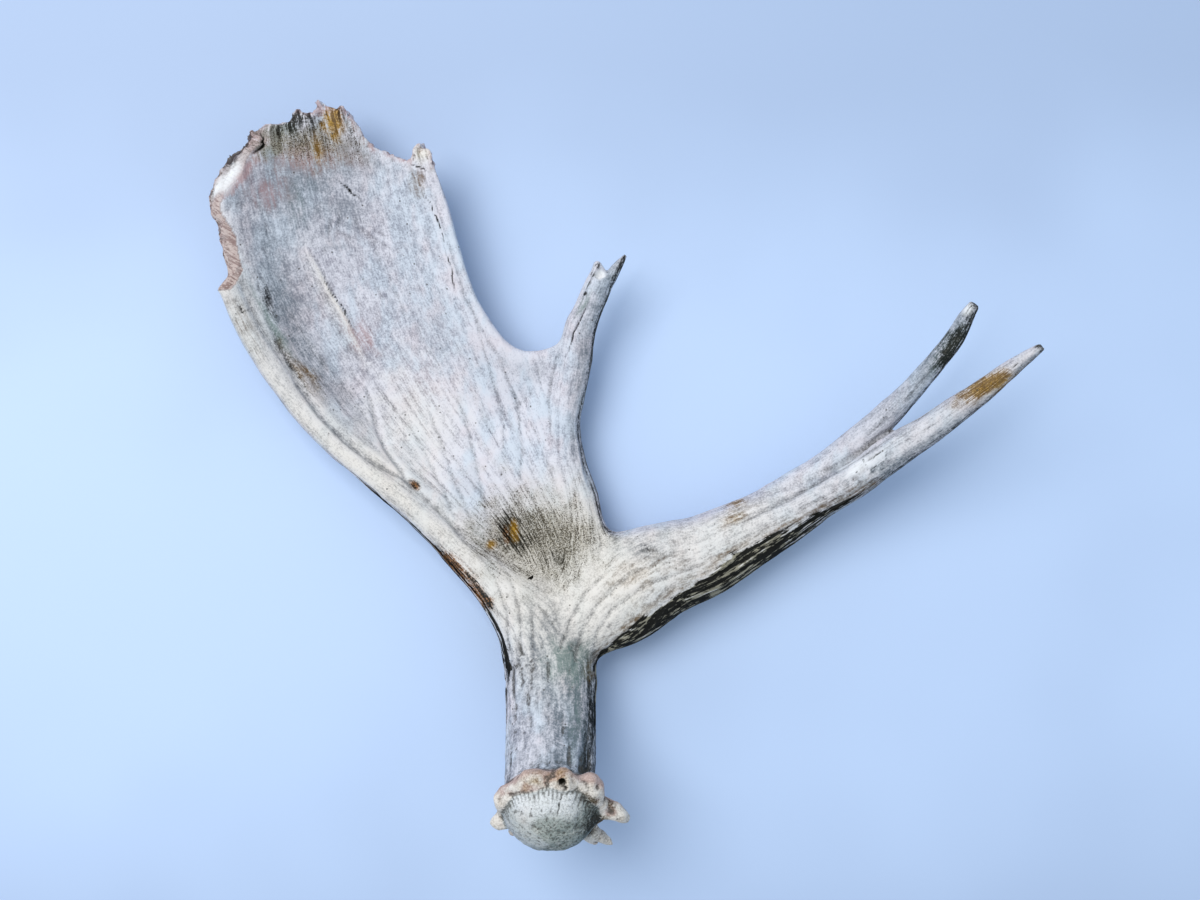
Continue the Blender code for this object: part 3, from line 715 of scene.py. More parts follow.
def along_path(points, stations, count=44):
    """Each point's place on a branch: the length along its path to the nearest place on it, and how far the
    point lies to the side, counted in the branch's half widths there. Its pull is exp(-gap / 4 mm)."""
    rows = curve_through(stations, count)
    centre = rows[:, :3]
    nearest, place = np.full(len(points), np.inf), np.zeros(len(points))
    for k, (start, leg) in enumerate(zip(centre, np.diff(centre, axis=0))):
        share = np.clip((points - start) @ leg / (leg @ leg), 0.0, 1.0)
        away = points - start - share[:, None] * leg
        far = dot(away, away)
        closer = far < nearest
        nearest[closer] = far[closer]
        place[closer] = k + share[closer]
    k = np.minimum(place.astype(int), count - 2)
    t = (place - k)[:, None]
    here = rows[k] * (1 - t) + rows[k + 1] * t
    forward = unit(np.gradient(centre, axis=0))
    forward = unit(forward[k] * (1 - t) + forward[k + 1] * t)
    aside = unit(np.cross(forward, UP))
    off = points - here[:, :3]
    side = dot(off, aside) / here[:, 3]
    lift = dot(off, np.cross(aside, forward)) / here[:, 4]
    at = lengths(centre)
    length = at[k] * (1 - t[:, 0]) + at[k + 1] * t[:, 0]
    gap = (np.hypot(side, lift) - 1) * np.minimum(here[:, 3], here[:, 4])
    mean = rows[:, 3].mean()
    grain = np.column_stack([side * mean, lift * mean, length])
    return Place(length, side, grain, np.exp(-np.clip(gap, 0, None) / (4 * MM)))


def fibre_line(route, rows):
    """A smooth line in plan through the route's points."""
    corners = np.array(route)
    flat = np.column_stack([corners, np.zeros(len(corners))])
    return curve_through(flat, rows)[:, :2].astype(np.float32)


def over_blade(points, normals, rows=60):
    """Each point's place on the palm, seen from above: the line between its two outer fibres that passes
    through it stands at a share of the way along them, and the point at a share of the way across."""
    left = fibre_line(FIBRES_LEFT_OF_PALM, rows)
    leg = fibre_line(FIBRES_RIGHT_OF_PALM, rows) - left
    x = points[:, 0, None].astype(np.float32) - left[:, 0]
    y = points[:, 1, None].astype(np.float32) - left[:, 1]
    ahead = leg[:, 0] * y - leg[:, 1] * x
    k = np.clip((ahead > 0).sum(axis=1) - 1, 0, rows - 2)
    every = np.arange(len(points))
    before, after = ahead[every, k], ahead[every, k + 1]
    t = np.clip(before / (before - after), -3.0, 4.0)
    along = (k + t) / (rows - 1)
    start = left[k] + (left[k + 1] - left[k]) * t[:, None]
    line = leg[k] + (leg[k + 1] - leg[k]) * t[:, None]
    across = dot(points[:, :2] - start, line) / dot(line, line)
    inside = smooth_step(-0.06, 0.02, across) * smooth_step(1.10, 0.98, across)
    inside = inside * smooth_step(0.04, 0.22, along)
    grain = np.column_stack([across * 0.150, np.sign(normals[:, 2]) * 0.05, along * 0.36])
    return Place(along, across, grain, 0.35 * inside)


def places_on(points, normals):
    """The places on every branch, with pulls that add up to 1 at each point."""
    places = {name: along_path(points, stations) for name, stations in GUIDES.items()}
    places["palm"] = over_blade(points, normals)
    fade = {
        "brow": smooth_step(0.02, 0.09, places["brow"].along),
        "rear": smooth_step(0.0, 0.03, places["rear"].along),
        "tine": smooth_step(0.02, 0.10, places["tine"].along),
    }
    pulls = {name: place.pull * fade.get(name, 1.0) + 1e-6 for name, place in places.items()}
    total = sum(pulls.values())
    return {name: place._replace(pull=pulls[name] / total) for name, place in places.items()}


def streaks(places, size, stretch, seed):
    """Noise drawn out along the fibres of each branch, blended by the branches' pulls."""
    total, power = 0.0, 0.0
    for number, place in enumerate(places.values()):
        drawn = place.grain * np.array((1.0, 1.0, 1 / stretch))
        total = total + place.pull * noise(drawn, size, seed + 31 * number)
        power = power + place.pull**2
    return total / np.sqrt(power)


def from_line(points, route):
    """How far each point is from a line of points in plan, and the share of the way along it."""
    corners = np.array(route)[:, :2]
    at = lengths(corners)
    nearest, share = np.full(len(points), np.inf), np.zeros(len(points))
    for k, (start, leg) in enumerate(zip(corners, np.diff(corners, axis=0))):
        t = np.clip((points[:, :2] - start) @ leg / (leg @ leg), 0.0, 1.0)
        far = np.linalg.norm(points[:, :2] - start - t[:, None] * leg, axis=1)
        closer = far < nearest
        nearest[closer] = far[closer]
        share[closer] = (at[k] + t[closer] * np.linalg.norm(leg)) / at[-1]
    return nearest, share


def patch(points, x, y, half_x, half_y, turn):
    """A soft round patch in plan: 1 in the middle, falling as exp(-r^2) with a ragged edge. Its middle and
    its half lengths come in millimetres."""
    ((x, y, half_x, half_y),) = metres((x, y, half_x, half_y))
    c, s = np.cos(np.radians(turn)), np.sin(np.radians(turn))
    dx, dy = points[:, 0] - x, points[:, 1] - y
    r = np.hypot((c * dx + s * dy) / half_x, (c * dy - s * dx) / half_y)
    near = r < 3
    out = np.zeros(len(points))
    edge = 1 + 0.30 * rough_noise(points[near], 7 * MM, 71, 2)
    out[near] = np.exp(-((r[near] * edge) ** 2) * 1.2)
    return out


# ---------------------------------------------------------------- relief and stains


def burr_places(points):
    """Height over the burr's plane, distance from its axis, angle round it, and how much of each point
    belongs to the seal and to the ring."""
    axis, aside, over = burr_frame()
    off = points - BURR_CENTRE
    height = off @ axis
    flat = off - height[:, None] * axis
    radius = np.linalg.norm(flat, axis=1)
    angle = np.arctan2(flat @ over, flat @ aside)
    near = (radius < 0.055) & (height > -0.012)
    seal = near * smooth_step(0.0285, 0.0265, radius) * smooth_step(0.001, 0.006, height)
    ring = near * (1 - seal) * smooth_step(-0.0085, -0.0050, height)
    return height, radius, angle, seal, ring


def furrows(places, seed):
    """Lengthwise furrows where streaks of two sizes run low together: 0 on the ridges, 1 in the troughs."""
    run = 0.65 * streaks(places, 4.0 * MM, 9, seed) + 0.45 * streaks(places, 2.2 * MM, 8, seed + 1)
    return smooth_step(0.05, -0.60, run)


def zones_on(points, normals, places):
    """How much each point belongs to each kind of surface, from 0 to 1."""
    beam, palm = places["beam"], places["palm"]
    up = normals[:, 2]
    height, radius, angle, seal, ring = burr_places(points)
    plain = 1 - np.clip(seal + ring, 0, 1)
    shaft = beam.pull * smooth_step(0.140, 0.090, beam.along) * plain
    past = from_line(points, FLANK_EDGE)[0] * np.where(inside_outline(points[:, :2], FLANK), 1, -1)
    flank = smooth_step(-4.0 * MM, 1.5 * MM, past) * (1 - 0.45 * smooth_step(0.07, 0.14, points[:, 0]))
    left_flank = beam.pull * smooth_step(-0.66, -0.88, beam.side) * smooth_step(0.05, 0.10, beam.along)
    left_flank = left_flank * smooth_step(0.30, 0.22, beam.along)
    rim_far = np.minimum(from_line(points, BROKEN_RIM)[0], from_line(points, BROKEN_LEFT)[0])
    rim = bell(rim_far, 3.2 * MM) * smooth_step(0.115, 0.130, points[:, 1])
    face = inside_outline(points[:, :2], BROKEN_FACE) * smooth_step(-0.3, 0.3, up)
    under = smooth_step(0.10, -0.35, up)
    fan = palm.pull * smooth_step(0.18, 0.30, palm.along) * smooth_step(0.62, 0.42, palm.along)
    return Zones(
        up, smooth_step(0.15, 0.55, up), under, seal, ring, plain, shaft, flank, left_flank, rim, face, fan,
        height, radius, angle,
    )


def drill(points, spot, half, depth, way):
    """A round hole: points near its mouth move along a direction, as depth times exp(-(r / half)^4)."""
    off = points - np.array(spot)
    way = unit(np.array(way))
    across = np.linalg.norm(off - (off @ way)[:, None] * way, axis=1)
    share = np.exp(-((across / half) ** 4)) * smooth_step(4 * half, 2 * half, np.abs(off @ way))
    return share[:, None] * depth * way, share


def grow_relief(data, shape):
    """Moves the skin's points by furrows, grooves, cracks, crumbs, knobs and holes, and returns the places,
    the zones and the marks that the stains are worked out from."""
    points, normals = points_of(data), normals_of(data)
    places = places_on(points, normals)
    z = zones_on(points, normals, places)
    rough = np.clip(0.12 + 0.65 * z.shaft + 1.0 * z.flank + 0.9 * z.left_flank + 0.5 * z.under, 0, 1)

    trough = furrows(places, 11)
    rise = -shape.furrow_depth * trough * rough * z.plain
    rise += 0.16 * MM * streaks(places, 2.0 * MM, 5, 23) * (0.5 + rough) * z.plain
    rise += z.shaft * (
        0.30 * MM * streaks(places, 3.4 * MM, 4, 29) + 0.15 * MM * rough_noise(points, 3 * MM, 31)
    )
    rise += (
        0.5 * MM * streaks(places, 11 * MM, 4, 41) * z.plain + 0.35 * MM * rough_noise(points, 16 * MM, 47)
    )
    rise += 1.0 * MM * z.fan * z.top * streaks(places, 6.5 * MM, 14, 53)
    rise += 0.45 * MM * z.fan * z.top * streaks(places, 3.2 * MM, 12, 55)

    grooves = np.zeros(len(points))
    for route, half, depth in FAN_GROOVES:
        far, share = from_line(points, route)
        cut = bell(far, half * MM) * taper(share, 0.02, 0.4) * z.top
        rise -= depth * MM * shape.groove_depth * cut
        grooves = np.maximum(grooves, cut * min(1.0, depth / 0.8))
    # The vein is a fold: it rises slowly from its left and drops sharply on its right.
    far, share = from_line(points, PALM_VEIN)
    right = inside_outline(points[:, :2], RIGHT_OF_VEIN)
    ends = taper(share, 0.02, 0.6) * z.top
    vein = np.where(right, bell(far, 0.7 * MM), np.exp(-far / (4.2 * MM))) * ends
    rise += 2.4 * MM * vein

    cracks = np.zeros(len(points))
    wander = points + 0.8 * MM * rough_noise(points, 4 * MM, 91, 2)[:, None]
    for route, half, depth in CRACKS:
        far, share = from_line(wander, route)
        cut = bell(far, half * MM) * taper(share, 0.03, 0.5)
        cut *= smooth_step(0.0, 0.3, z.up)
        rise -= depth * MM * cut
        cracks = np.maximum(cracks, cut)

    # The broken rim crumbles, and its spongy inside shows as open pores.
    rise -= 0.45 * MM * z.rim * pits(points, 2.6 * MM, 5)
    # One stretch of the front tine is chipped in small scales.
    rise -= 2.2 * MM * patch(points, *CHIPPED) * pits(points, 6 * MM, 15)
    crumble = np.column_stack([rough_noise(points, 3.6 * MM, 200 + i, 2) for i in range(3)])
    shift = crumble * (shape.rim_raggedness * z.rim)[:, None]
    # The broken face slopes down from its line, in slanting splinters.
    past = from_line(points, BREAK_LINE)[0]
    wavy = points @ SPLINTERS_ACROSS + 0.5 * MM * noise(points, 5 * MM, 97)
    splinters = np.cos(wavy * 2 * np.pi / SPLINTER_PITCH)
    slope = np.minimum(0.5 * past, 4.5 * MM)
    shift[:, 2] -= z.face * (slope + 0.22 * MM * splinters * smooth_step(0, 1.5 * MM, past))

    # The burr: round knobs, short lines where the ring meets the seal, and a seal of fused grains.
    lobes = rough_noise(points, 8 * MM, 301, 2)
    lines = np.cos(SEAL_LINES * z.angle + 3.0 * noise(points, 6 * MM, 303))
    lines = lines * bell(z.radius - SEAL_EDGE, SEAL_EDGE_HALF_WIDTH)
    rise += z.ring * 1.5 * MM * lobes + 0.28 * MM * lines * (z.ring + z.seal)
    rise += z.seal * (
        0.28 * MM * rough_noise(points, 2.4 * MM, 307, 2) + 0.7 * MM * rough_noise(points, 9 * MM, 305)
    )
    swelling = np.linalg.norm(points - np.array(HOLED_PEARL), axis=1)
    rise += 2.6 * MM * bell(swelling, 5.0 * MM) * z.ring

    holes = np.zeros(len(points))
    for spot, half, depth, way, dark in HOLES:
        moved, share = drill(points, *metres(spot), half * MM, depth * MM, way)
        shift += moved
        holes = np.maximum(holes, dark * share)
    moved = points + normals * rise[:, None] + shift
    moved[:, 2] = np.maximum(moved[:, 2], 0.0)
    set_points(data, moved)
    return places, z, Marks(trough, grooves, cracks, holes, vein)


def hollows(data):
    """How hollow the skin is at each point, from -1 on a crest to 1 in a pit: how far outwards the mean of
    its neighbours lies, near by and further round."""
    points, normals = points_of(data), normals_of(data)
    edges = read(data, "edges", "vertices", 2, np.int32)
    half = np.full(len(points), 0.5)
    near = relaxed(points, edges, 3, half)
    wide = relaxed(near, edges, 14, half)
    hollow = dot(near - points, normals) / (0.09 * MM) + dot(wide - points, normals) / (0.35 * MM)
    return np.clip(hollow, -1, 1)


def grow_stains(data, places, z, marks):
    """Keeps the stains, the dirt, the painted shade and highlight, and the run of the fibres as attributes
    that the bone's material reads.
    """
    points = points_of(data)
    beam, brow, tine, rear, palm = (places[name] for name in ("beam", "brow", "tine", "rear", "palm"))
    above = smooth_step(-0.1, 0.25, z.up)
    stains = {}
    for kind, patches in STAINS.items():
        stains[kind] = np.zeros(len(points))
        for *spot, strength in patches:
            stains[kind] = 1 - (1 - stains[kind]) * (1 - strength * above * patch(points, *spot))
    lit = smooth_step(0.25, 0.75, z.up)
    near_crown = smooth_step(0.085, 0.03, np.hypot(points[:, 0] + 0.02, points[:, 1] + 0.07))
    ridge = beam.pull * (1 - z.shaft)
    tines = brow.pull * smooth_step(0.18, 0.26, brow.along) + rear.pull * smooth_step(0.03, 0.09, rear.along)
    worn = 0.8 * brow.pull * (1 - 0.6 * tines) + 0.9 * ridge
    stains["cream"] += lit * np.maximum(worn, near_crown * z.plain) + 0.9 * z.ring
    stains["rose"] += 0.9 * z.ring * smooth_step(0.005, -0.004, z.height) + 0.15 * marks.vein + 0.45 * z.rim
    chips, chipped = pits(points, 6 * MM, 15), patch(points, *CHIPPED)
    stains["grey"] += 1.2 * chipped * smooth_step(0.0, 0.05, chips) * smooth_step(0.26, 0.10, chips)
    stains["soil"] += 0.6 * chipped * smooth_step(0.0, 0.04, chips) * smooth_step(0.16, 0.06, chips)
    lobes = rough_noise(points, 8 * MM, 301, 2)
    stains["rose"] += 0.55 * z.ring * smooth_step(0.0, -0.6, lobes)
    stains["cream"] += 0.9 * marks.vein
    stains["grey"] += 0.08 * tines
    right, down = np.cos(z.angle), np.sin(z.angle)
    # Painted highlight: the seal's left side is lightened with chalk white.
    stains["chalk"] += 0.35 * z.seal * smooth_step(-0.3, -0.9, right)
    # The shaft is greyer all round. On its right side, away from the light, grey and soil are added as painted
    # shade. Every underside is greyed as well.
    stains["grey"] += z.shaft * (0.35 + 0.65 * smooth_step(-0.6, 0.4, beam.side)) + 0.35 * z.under
    stains["soil"] += 0.5 * z.shaft * smooth_step(0.5, 0.95, beam.side)
    tine_end = smooth_step(0.10, 0.16, tine.along)
    # Painted shade on the palm tine's right side, away from the light.
    stains["grey"] += 0.95 * tine.pull * smooth_step(-0.5, 0.6, tine.side) * tine_end
    # Painted shade on the seal's right side, darkest at its far right; the fan's grooves are greyed with
    # painted shade too.
    stains["grey"] += 0.55 * z.seal * smooth_step(-0.5, 0.7, right) + 0.3 * marks.grooves
    stains["soil"] += 0.22 * z.seal * smooth_step(0.75, 1.0, right) * smooth_step(0.012, 0.020, z.radius)
    stains["ochre"] += 0.27 * z.ring
    # Painted highlight on the seal's upper side.
    stains["chalk"] += 0.5 * z.seal * smooth_step(-0.4, -0.95, down) * smooth_step(0.013, 0.022, z.radius)
    # Grime gathers along the flank's upper edge. The tines' right sides, away from the light, are darkened
    # with painted shade.
    edge = bell(from_line(points, FLANK_EDGE)[0], 9 * MM) * (1 - z.flank)
    stains["ochre"] += 0.38 * edge
    shaded = brow.pull * smooth_step(0.10, 0.60, brow.side) * smooth_step(0.20, 0.27, brow.along)
    stains["grey"] += 0.40 * edge + shaded
    stains["soil"] += 0.55 * shaded * smooth_step(0.45, 0.95, brow.side)
    stains["soil"] += 0.75 * tine.pull * smooth_step(0.55, 0.95, tine.side) * above
    rear_end = smooth_step(0.06, 0.10, rear.along)
    stains["soil"] += 0.6 * rear.pull * smooth_step(0.45, 0.95, rear.side) * rear_end
    stains["grey"] += 0.35 * rear.pull * smooth_step(0.03, 0.09, rear.along)
    stains["moss"] += 0.75 * z.seal
    # The palm is lighter towards the crown, which is bleaching, and towards its right side, where the bowl
    # faces the light, which is painted highlight.
    spread = smooth_step(0.72, 0.34, palm.along) + 0.55 * smooth_step(0.45, 0.85, palm.side)
    # Hollows are darkened by this weight, more on the flanks, the burr, the rim and undersides: partly dirt,
    # partly painted shade.
    grime_and_shade = 0.25 + 0.25 * z.shaft + 0.7 * z.flank + 0.7 * z.left_flank + 0.3 * z.under
    grime_and_shade += 0.45 * z.ring + 0.35 * z.seal + 0.2 * z.rim
    settled = 0.03 + 0.16 * z.shaft + 0.5 * z.left_flank + 0.2 * z.under + 0.3 * tines
    dirt = marks.trough * np.clip(settled, 0, 1) * z.plain
    hollow = hollows(data)

    pulls = np.stack([place.pull for place in places.values()])
    ranked = np.sort(pulls, axis=0)
    grains = np.stack([place.grain for place in places.values()])
    leading = grains[pulls.argmax(axis=0), np.arange(len(points))]
    slant = np.column_stack([points @ SPLINTERS_ACROSS, points[:, 2], points @ SPLINTERS_ALONG])
    store(data, "grain", np.where(z.face[:, None] > 0.5, slant, leading))
    sure = smooth_step(0.02, 0.35, ranked[-1] - ranked[-2]) * z.plain
    store(data, "grain_sure", np.maximum(sure, z.face))
    run = 0.6 * streaks(places, 2.8 * MM, 9, 61) + 0.5 * streaks(places, 1.4 * MM, 8, 63)
    store(data, "fibre", 0.5 + 0.5 * np.clip(run, -1, 1) * z.plain)
    store(data, "dirt", np.clip(dirt + np.clip(hollow, 0, 1) * grime_and_shade, 0, 1))
    store(data, "crest", np.clip(-hollow, 0, 1))
    store(data, "flank", np.clip(z.flank + 0.62 * z.left_flank, 0, 1))
    store(data, "crack", np.clip(marks.cracks + marks.holes, 0, 1))
    store(data, "seal", z.seal)
    store(data, "bleach", np.clip(palm.pull * spread * z.top, 0, 1))
    store(data, "face", z.face)
    store(data, "bold", np.clip(z.fan * z.top + z.shaft, 0, 1))
    for kind, values in stains.items():
        store(data, kind, np.clip(values, 0, 1))


def seated(data):
    """Moves the skin from the tables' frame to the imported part's: there the brow branch begins, and the beam
    ends, at the crown."""
    crown = np.array((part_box("brow_branch")[0][0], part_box("burr_and_beam")[1][1]))
    shift = np.append(crown - CROWN, 0.0)
    set_points(data, points_of(data) + shift)
    return shift


def parted(data, shift):
    """Cuts the skin's faces along every fork's cut, and numbers each face by its branch."""
    shell = bmesh.new()
    shell.from_mesh(data)
    for start, end in CUTS:
        a, b = (np.array(spot) + shift[:2] for spot in (start, end))
        way = unit(b - a)
        square = np.array((-way[1], way[0]))
        middles = np.array([face.calc_center_median()[:2] for face in shell.faces]) - a
        reach = 3 * MM
        length = np.linalg.norm(b - a)
        ahead = middles @ way
        on_cut = (np.abs(middles @ square) < reach) & (ahead > -reach) & (ahead < length + reach)
        shell.faces.ensure_lookup_table()
        faces = [shell.faces[i] for i in np.flatnonzero(on_cut)]
        if faces:
            edges = {edge for face in faces for edge in face.edges}
            verts = {vert for face in faces for vert in face.verts}
            bmesh.ops.bisect_plane(
                shell,
                geom=faces + list(edges) + list(verts),
                dist=1e-6,
                plane_co=(a[0], a[1], 0.0),
                plane_no=(square[0], square[1], 0.0),
            )
    shell.to_mesh(data)
    shell.free()
    store(data, "skin_normal", normals_of(data))
    middles = read(data, "polygons", "center", 3)[:, :2] - shift[:2]
    branch_number = np.full(len(middles), -1)
    for number, outline in enumerate(OUTLINES.values()):
        branch_number[inside_outline(middles, outline)] = number
    made = data.attributes.new("branch", "INT", "FACE")
    made.data.foreach_set("value", branch_number.astype(np.int32))


def inside_outline(spots, outline):
    """Whether each spot in plan is inside: a line from it crosses the outline an odd number of times."""
    inside = np.zeros(len(spots), bool)
    corners = np.array(outline)
    for (ax, ay), (bx, by) in zip(corners, np.roll(corners, -1, axis=0)):
        if ay == by:
            continue
        spans = (spots[:, 1] >= min(ay, by)) & (spots[:, 1] < max(ay, by))
        x = ax + (spots[:, 1] - ay) / (by - ay) * (bx - ax)
        inside ^= spans & (spots[:, 0] < x)
    return inside


def branch_piece(name, material):
    """One branch as a closed mesh, shaded with the whole skin's normals so that no joint shows."""
    skin = bpy.data.meshes.get("antler_skin")
    if skin is None:
        raise RuntimeError("grow the skin before its branches")
    shell = bmesh.new()
    shell.from_mesh(skin)
    numbers = shell.faces.layers.int["branch"]
    wanted = list(OUTLINES).index(name)
    bmesh.ops.delete(shell, geom=[face for face in shell.faces if face[numbers] != wanted], context="FACES")
    open_edges = [edge for edge in shell.edges if len(edge.link_faces) == 1]
    bmesh.ops.holes_fill(shell, edges=open_edges, sides=0)
    data = bpy.data.meshes.new(name + "_bone")
    shell.to_mesh(data)
    shell.free()
    normals = np.empty(len(data.vertices) * 3, np.float32)
    data.attributes["skin_normal"].data.foreach_get("vector", normals)
    data.shade_smooth()
    data.normals_split_custom_set_from_vertices(normals.reshape(-1, 3))
    for spent in ("skin_normal", "branch"):
        data.attributes.remove(data.attributes[spent])
    piece = new_object(name + "_bone", data)
    piece.data.materials.append(material)
    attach(piece, "root")
    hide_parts(name)
    return piece


# ---------------------------------------------------------------- materials


class Number:
    """A number inside a material. Arithmetic on it adds Math nodes."""

    def __init__(self, recipe, socket):
        self.recipe, self.socket = recipe, socket

    def math(self, operation, first, second):
        """One Math node on two numbers or links."""
        made = self.recipe.node("ShaderNodeMath", {"operation": operation}, {0: first, 1: second})
        return Number(self.recipe, made.outputs[0])

    def __add__(self, other):
        return self.math("ADD", self, other)

    def __sub__(self, other):
        return self.math("SUBTRACT", self, other)

    def __rsub__(self, other):
        return self.math("SUBTRACT", other, self)

    def __mul__(self, other):
        return self.math("MULTIPLY", self, other)

    def most(self, other):
        """The larger of the two."""
        return self.math("MAXIMUM", self, other)

    def step(self, low, high):
        """0 at low and 1 at high, smooth between."""
        made = self.recipe.node(
            "ShaderNodeMapRange",
            {"interpolation_type": "SMOOTHSTEP"},
            {"Value": self, "From Min": low, "From Max": high},
        )
        return Number(self.recipe, made.outputs[0])

    __radd__ = __add__
    __rmul__ = __mul__


class Recipe:
    """Builds one material's nodes."""

    def __init__(self, name):
        self.material = bpy.data.materials.new(name)
        self.material.use_nodes = True
        self.tree = self.material.node_tree
        self.shader = self.tree.nodes["Principled BSDF"]

    def node(self, kind, settings, sockets):
        """One node: its type, its settings, and the values or links of its sockets."""
        made = self.tree.nodes.new(kind)
        for name, value in settings.items():
            setattr(made, name, value)
        for key, value in sockets.items():
            self.feed(made.inputs[key], value)
        return made

    def feed(self, socket, value):
        """Links a node's output to the socket, or sets a constant on it."""
        if isinstance(value, Number):
            value = value.socket
        if isinstance(value, bpy.types.NodeSocket):
            self.tree.links.new(value, socket)
        else:
            socket.default_value = (*value, 1.0) if socket.type == "RGBA" else value

    def own(self, name):
        """A number kept on the mesh."""
        made = self.node("ShaderNodeAttribute", {"attribute_name": name}, {})
        return Number(self, made.outputs["Fac"])

    def own_vector(self, name):
        """A vector kept on the mesh."""
        return self.node("ShaderNodeAttribute", {"attribute_name": name}, {}).outputs["Vector"]

    def place(self):
        """The point's place in metres."""
        return self.node("ShaderNodeTexCoord", {}, {}).outputs["Object"]

    def scaled(self, vector, factors):
        """The vector with each axis multiplied by its own factor, which stretches a pattern."""
        made = self.node("ShaderNodeVectorMath", {"operation": "MULTIPLY"}, {0: vector, 1: factors})
        return made.outputs[0]

    def noise(self, vector, size, detail=2.0, roughness=0.5):
        """Soft noise from 0 to 1, with features about that many metres long."""
        sockets = {"Vector": vector, "Scale": 1 / size, "Detail": detail, "Roughness": roughness}
        return Number(self, self.node("ShaderNodeTexNoise", {}, sockets).outputs[0])

    def cells(self, vector, size):
        """How far the point is from the middle of its cell, in cells."""
        sockets = {"Vector": vector, "Scale": 1 / size}
        return Number(self, self.node("ShaderNodeTexVoronoi", {}, sockets).outputs["Distance"])

    def mix(self, share, first, second, blend="MIX"):
        """From the first colour to the second as the share goes from 0 to 1."""
        settings = {"data_type": "RGBA", "blend_type": blend, "clamp_factor": True}
        return self.node("ShaderNodeMix", settings, {0: share, 6: first, 7: second}).outputs[2]

    def finish(self, colour, roughness, height, strength, distance):
        """Feeds the shader with the colour, the roughness and a bump of that height."""
        self.feed(self.shader.inputs["Base Color"], colour)
        self.feed(self.shader.inputs["Roughness"], roughness)
        bump = self.node("ShaderNodeBump", {}, {"Strength": strength, "Distance": distance, "Height": height})
        self.feed(self.shader.inputs["Normal"], bump.outputs[0])
        return self.material


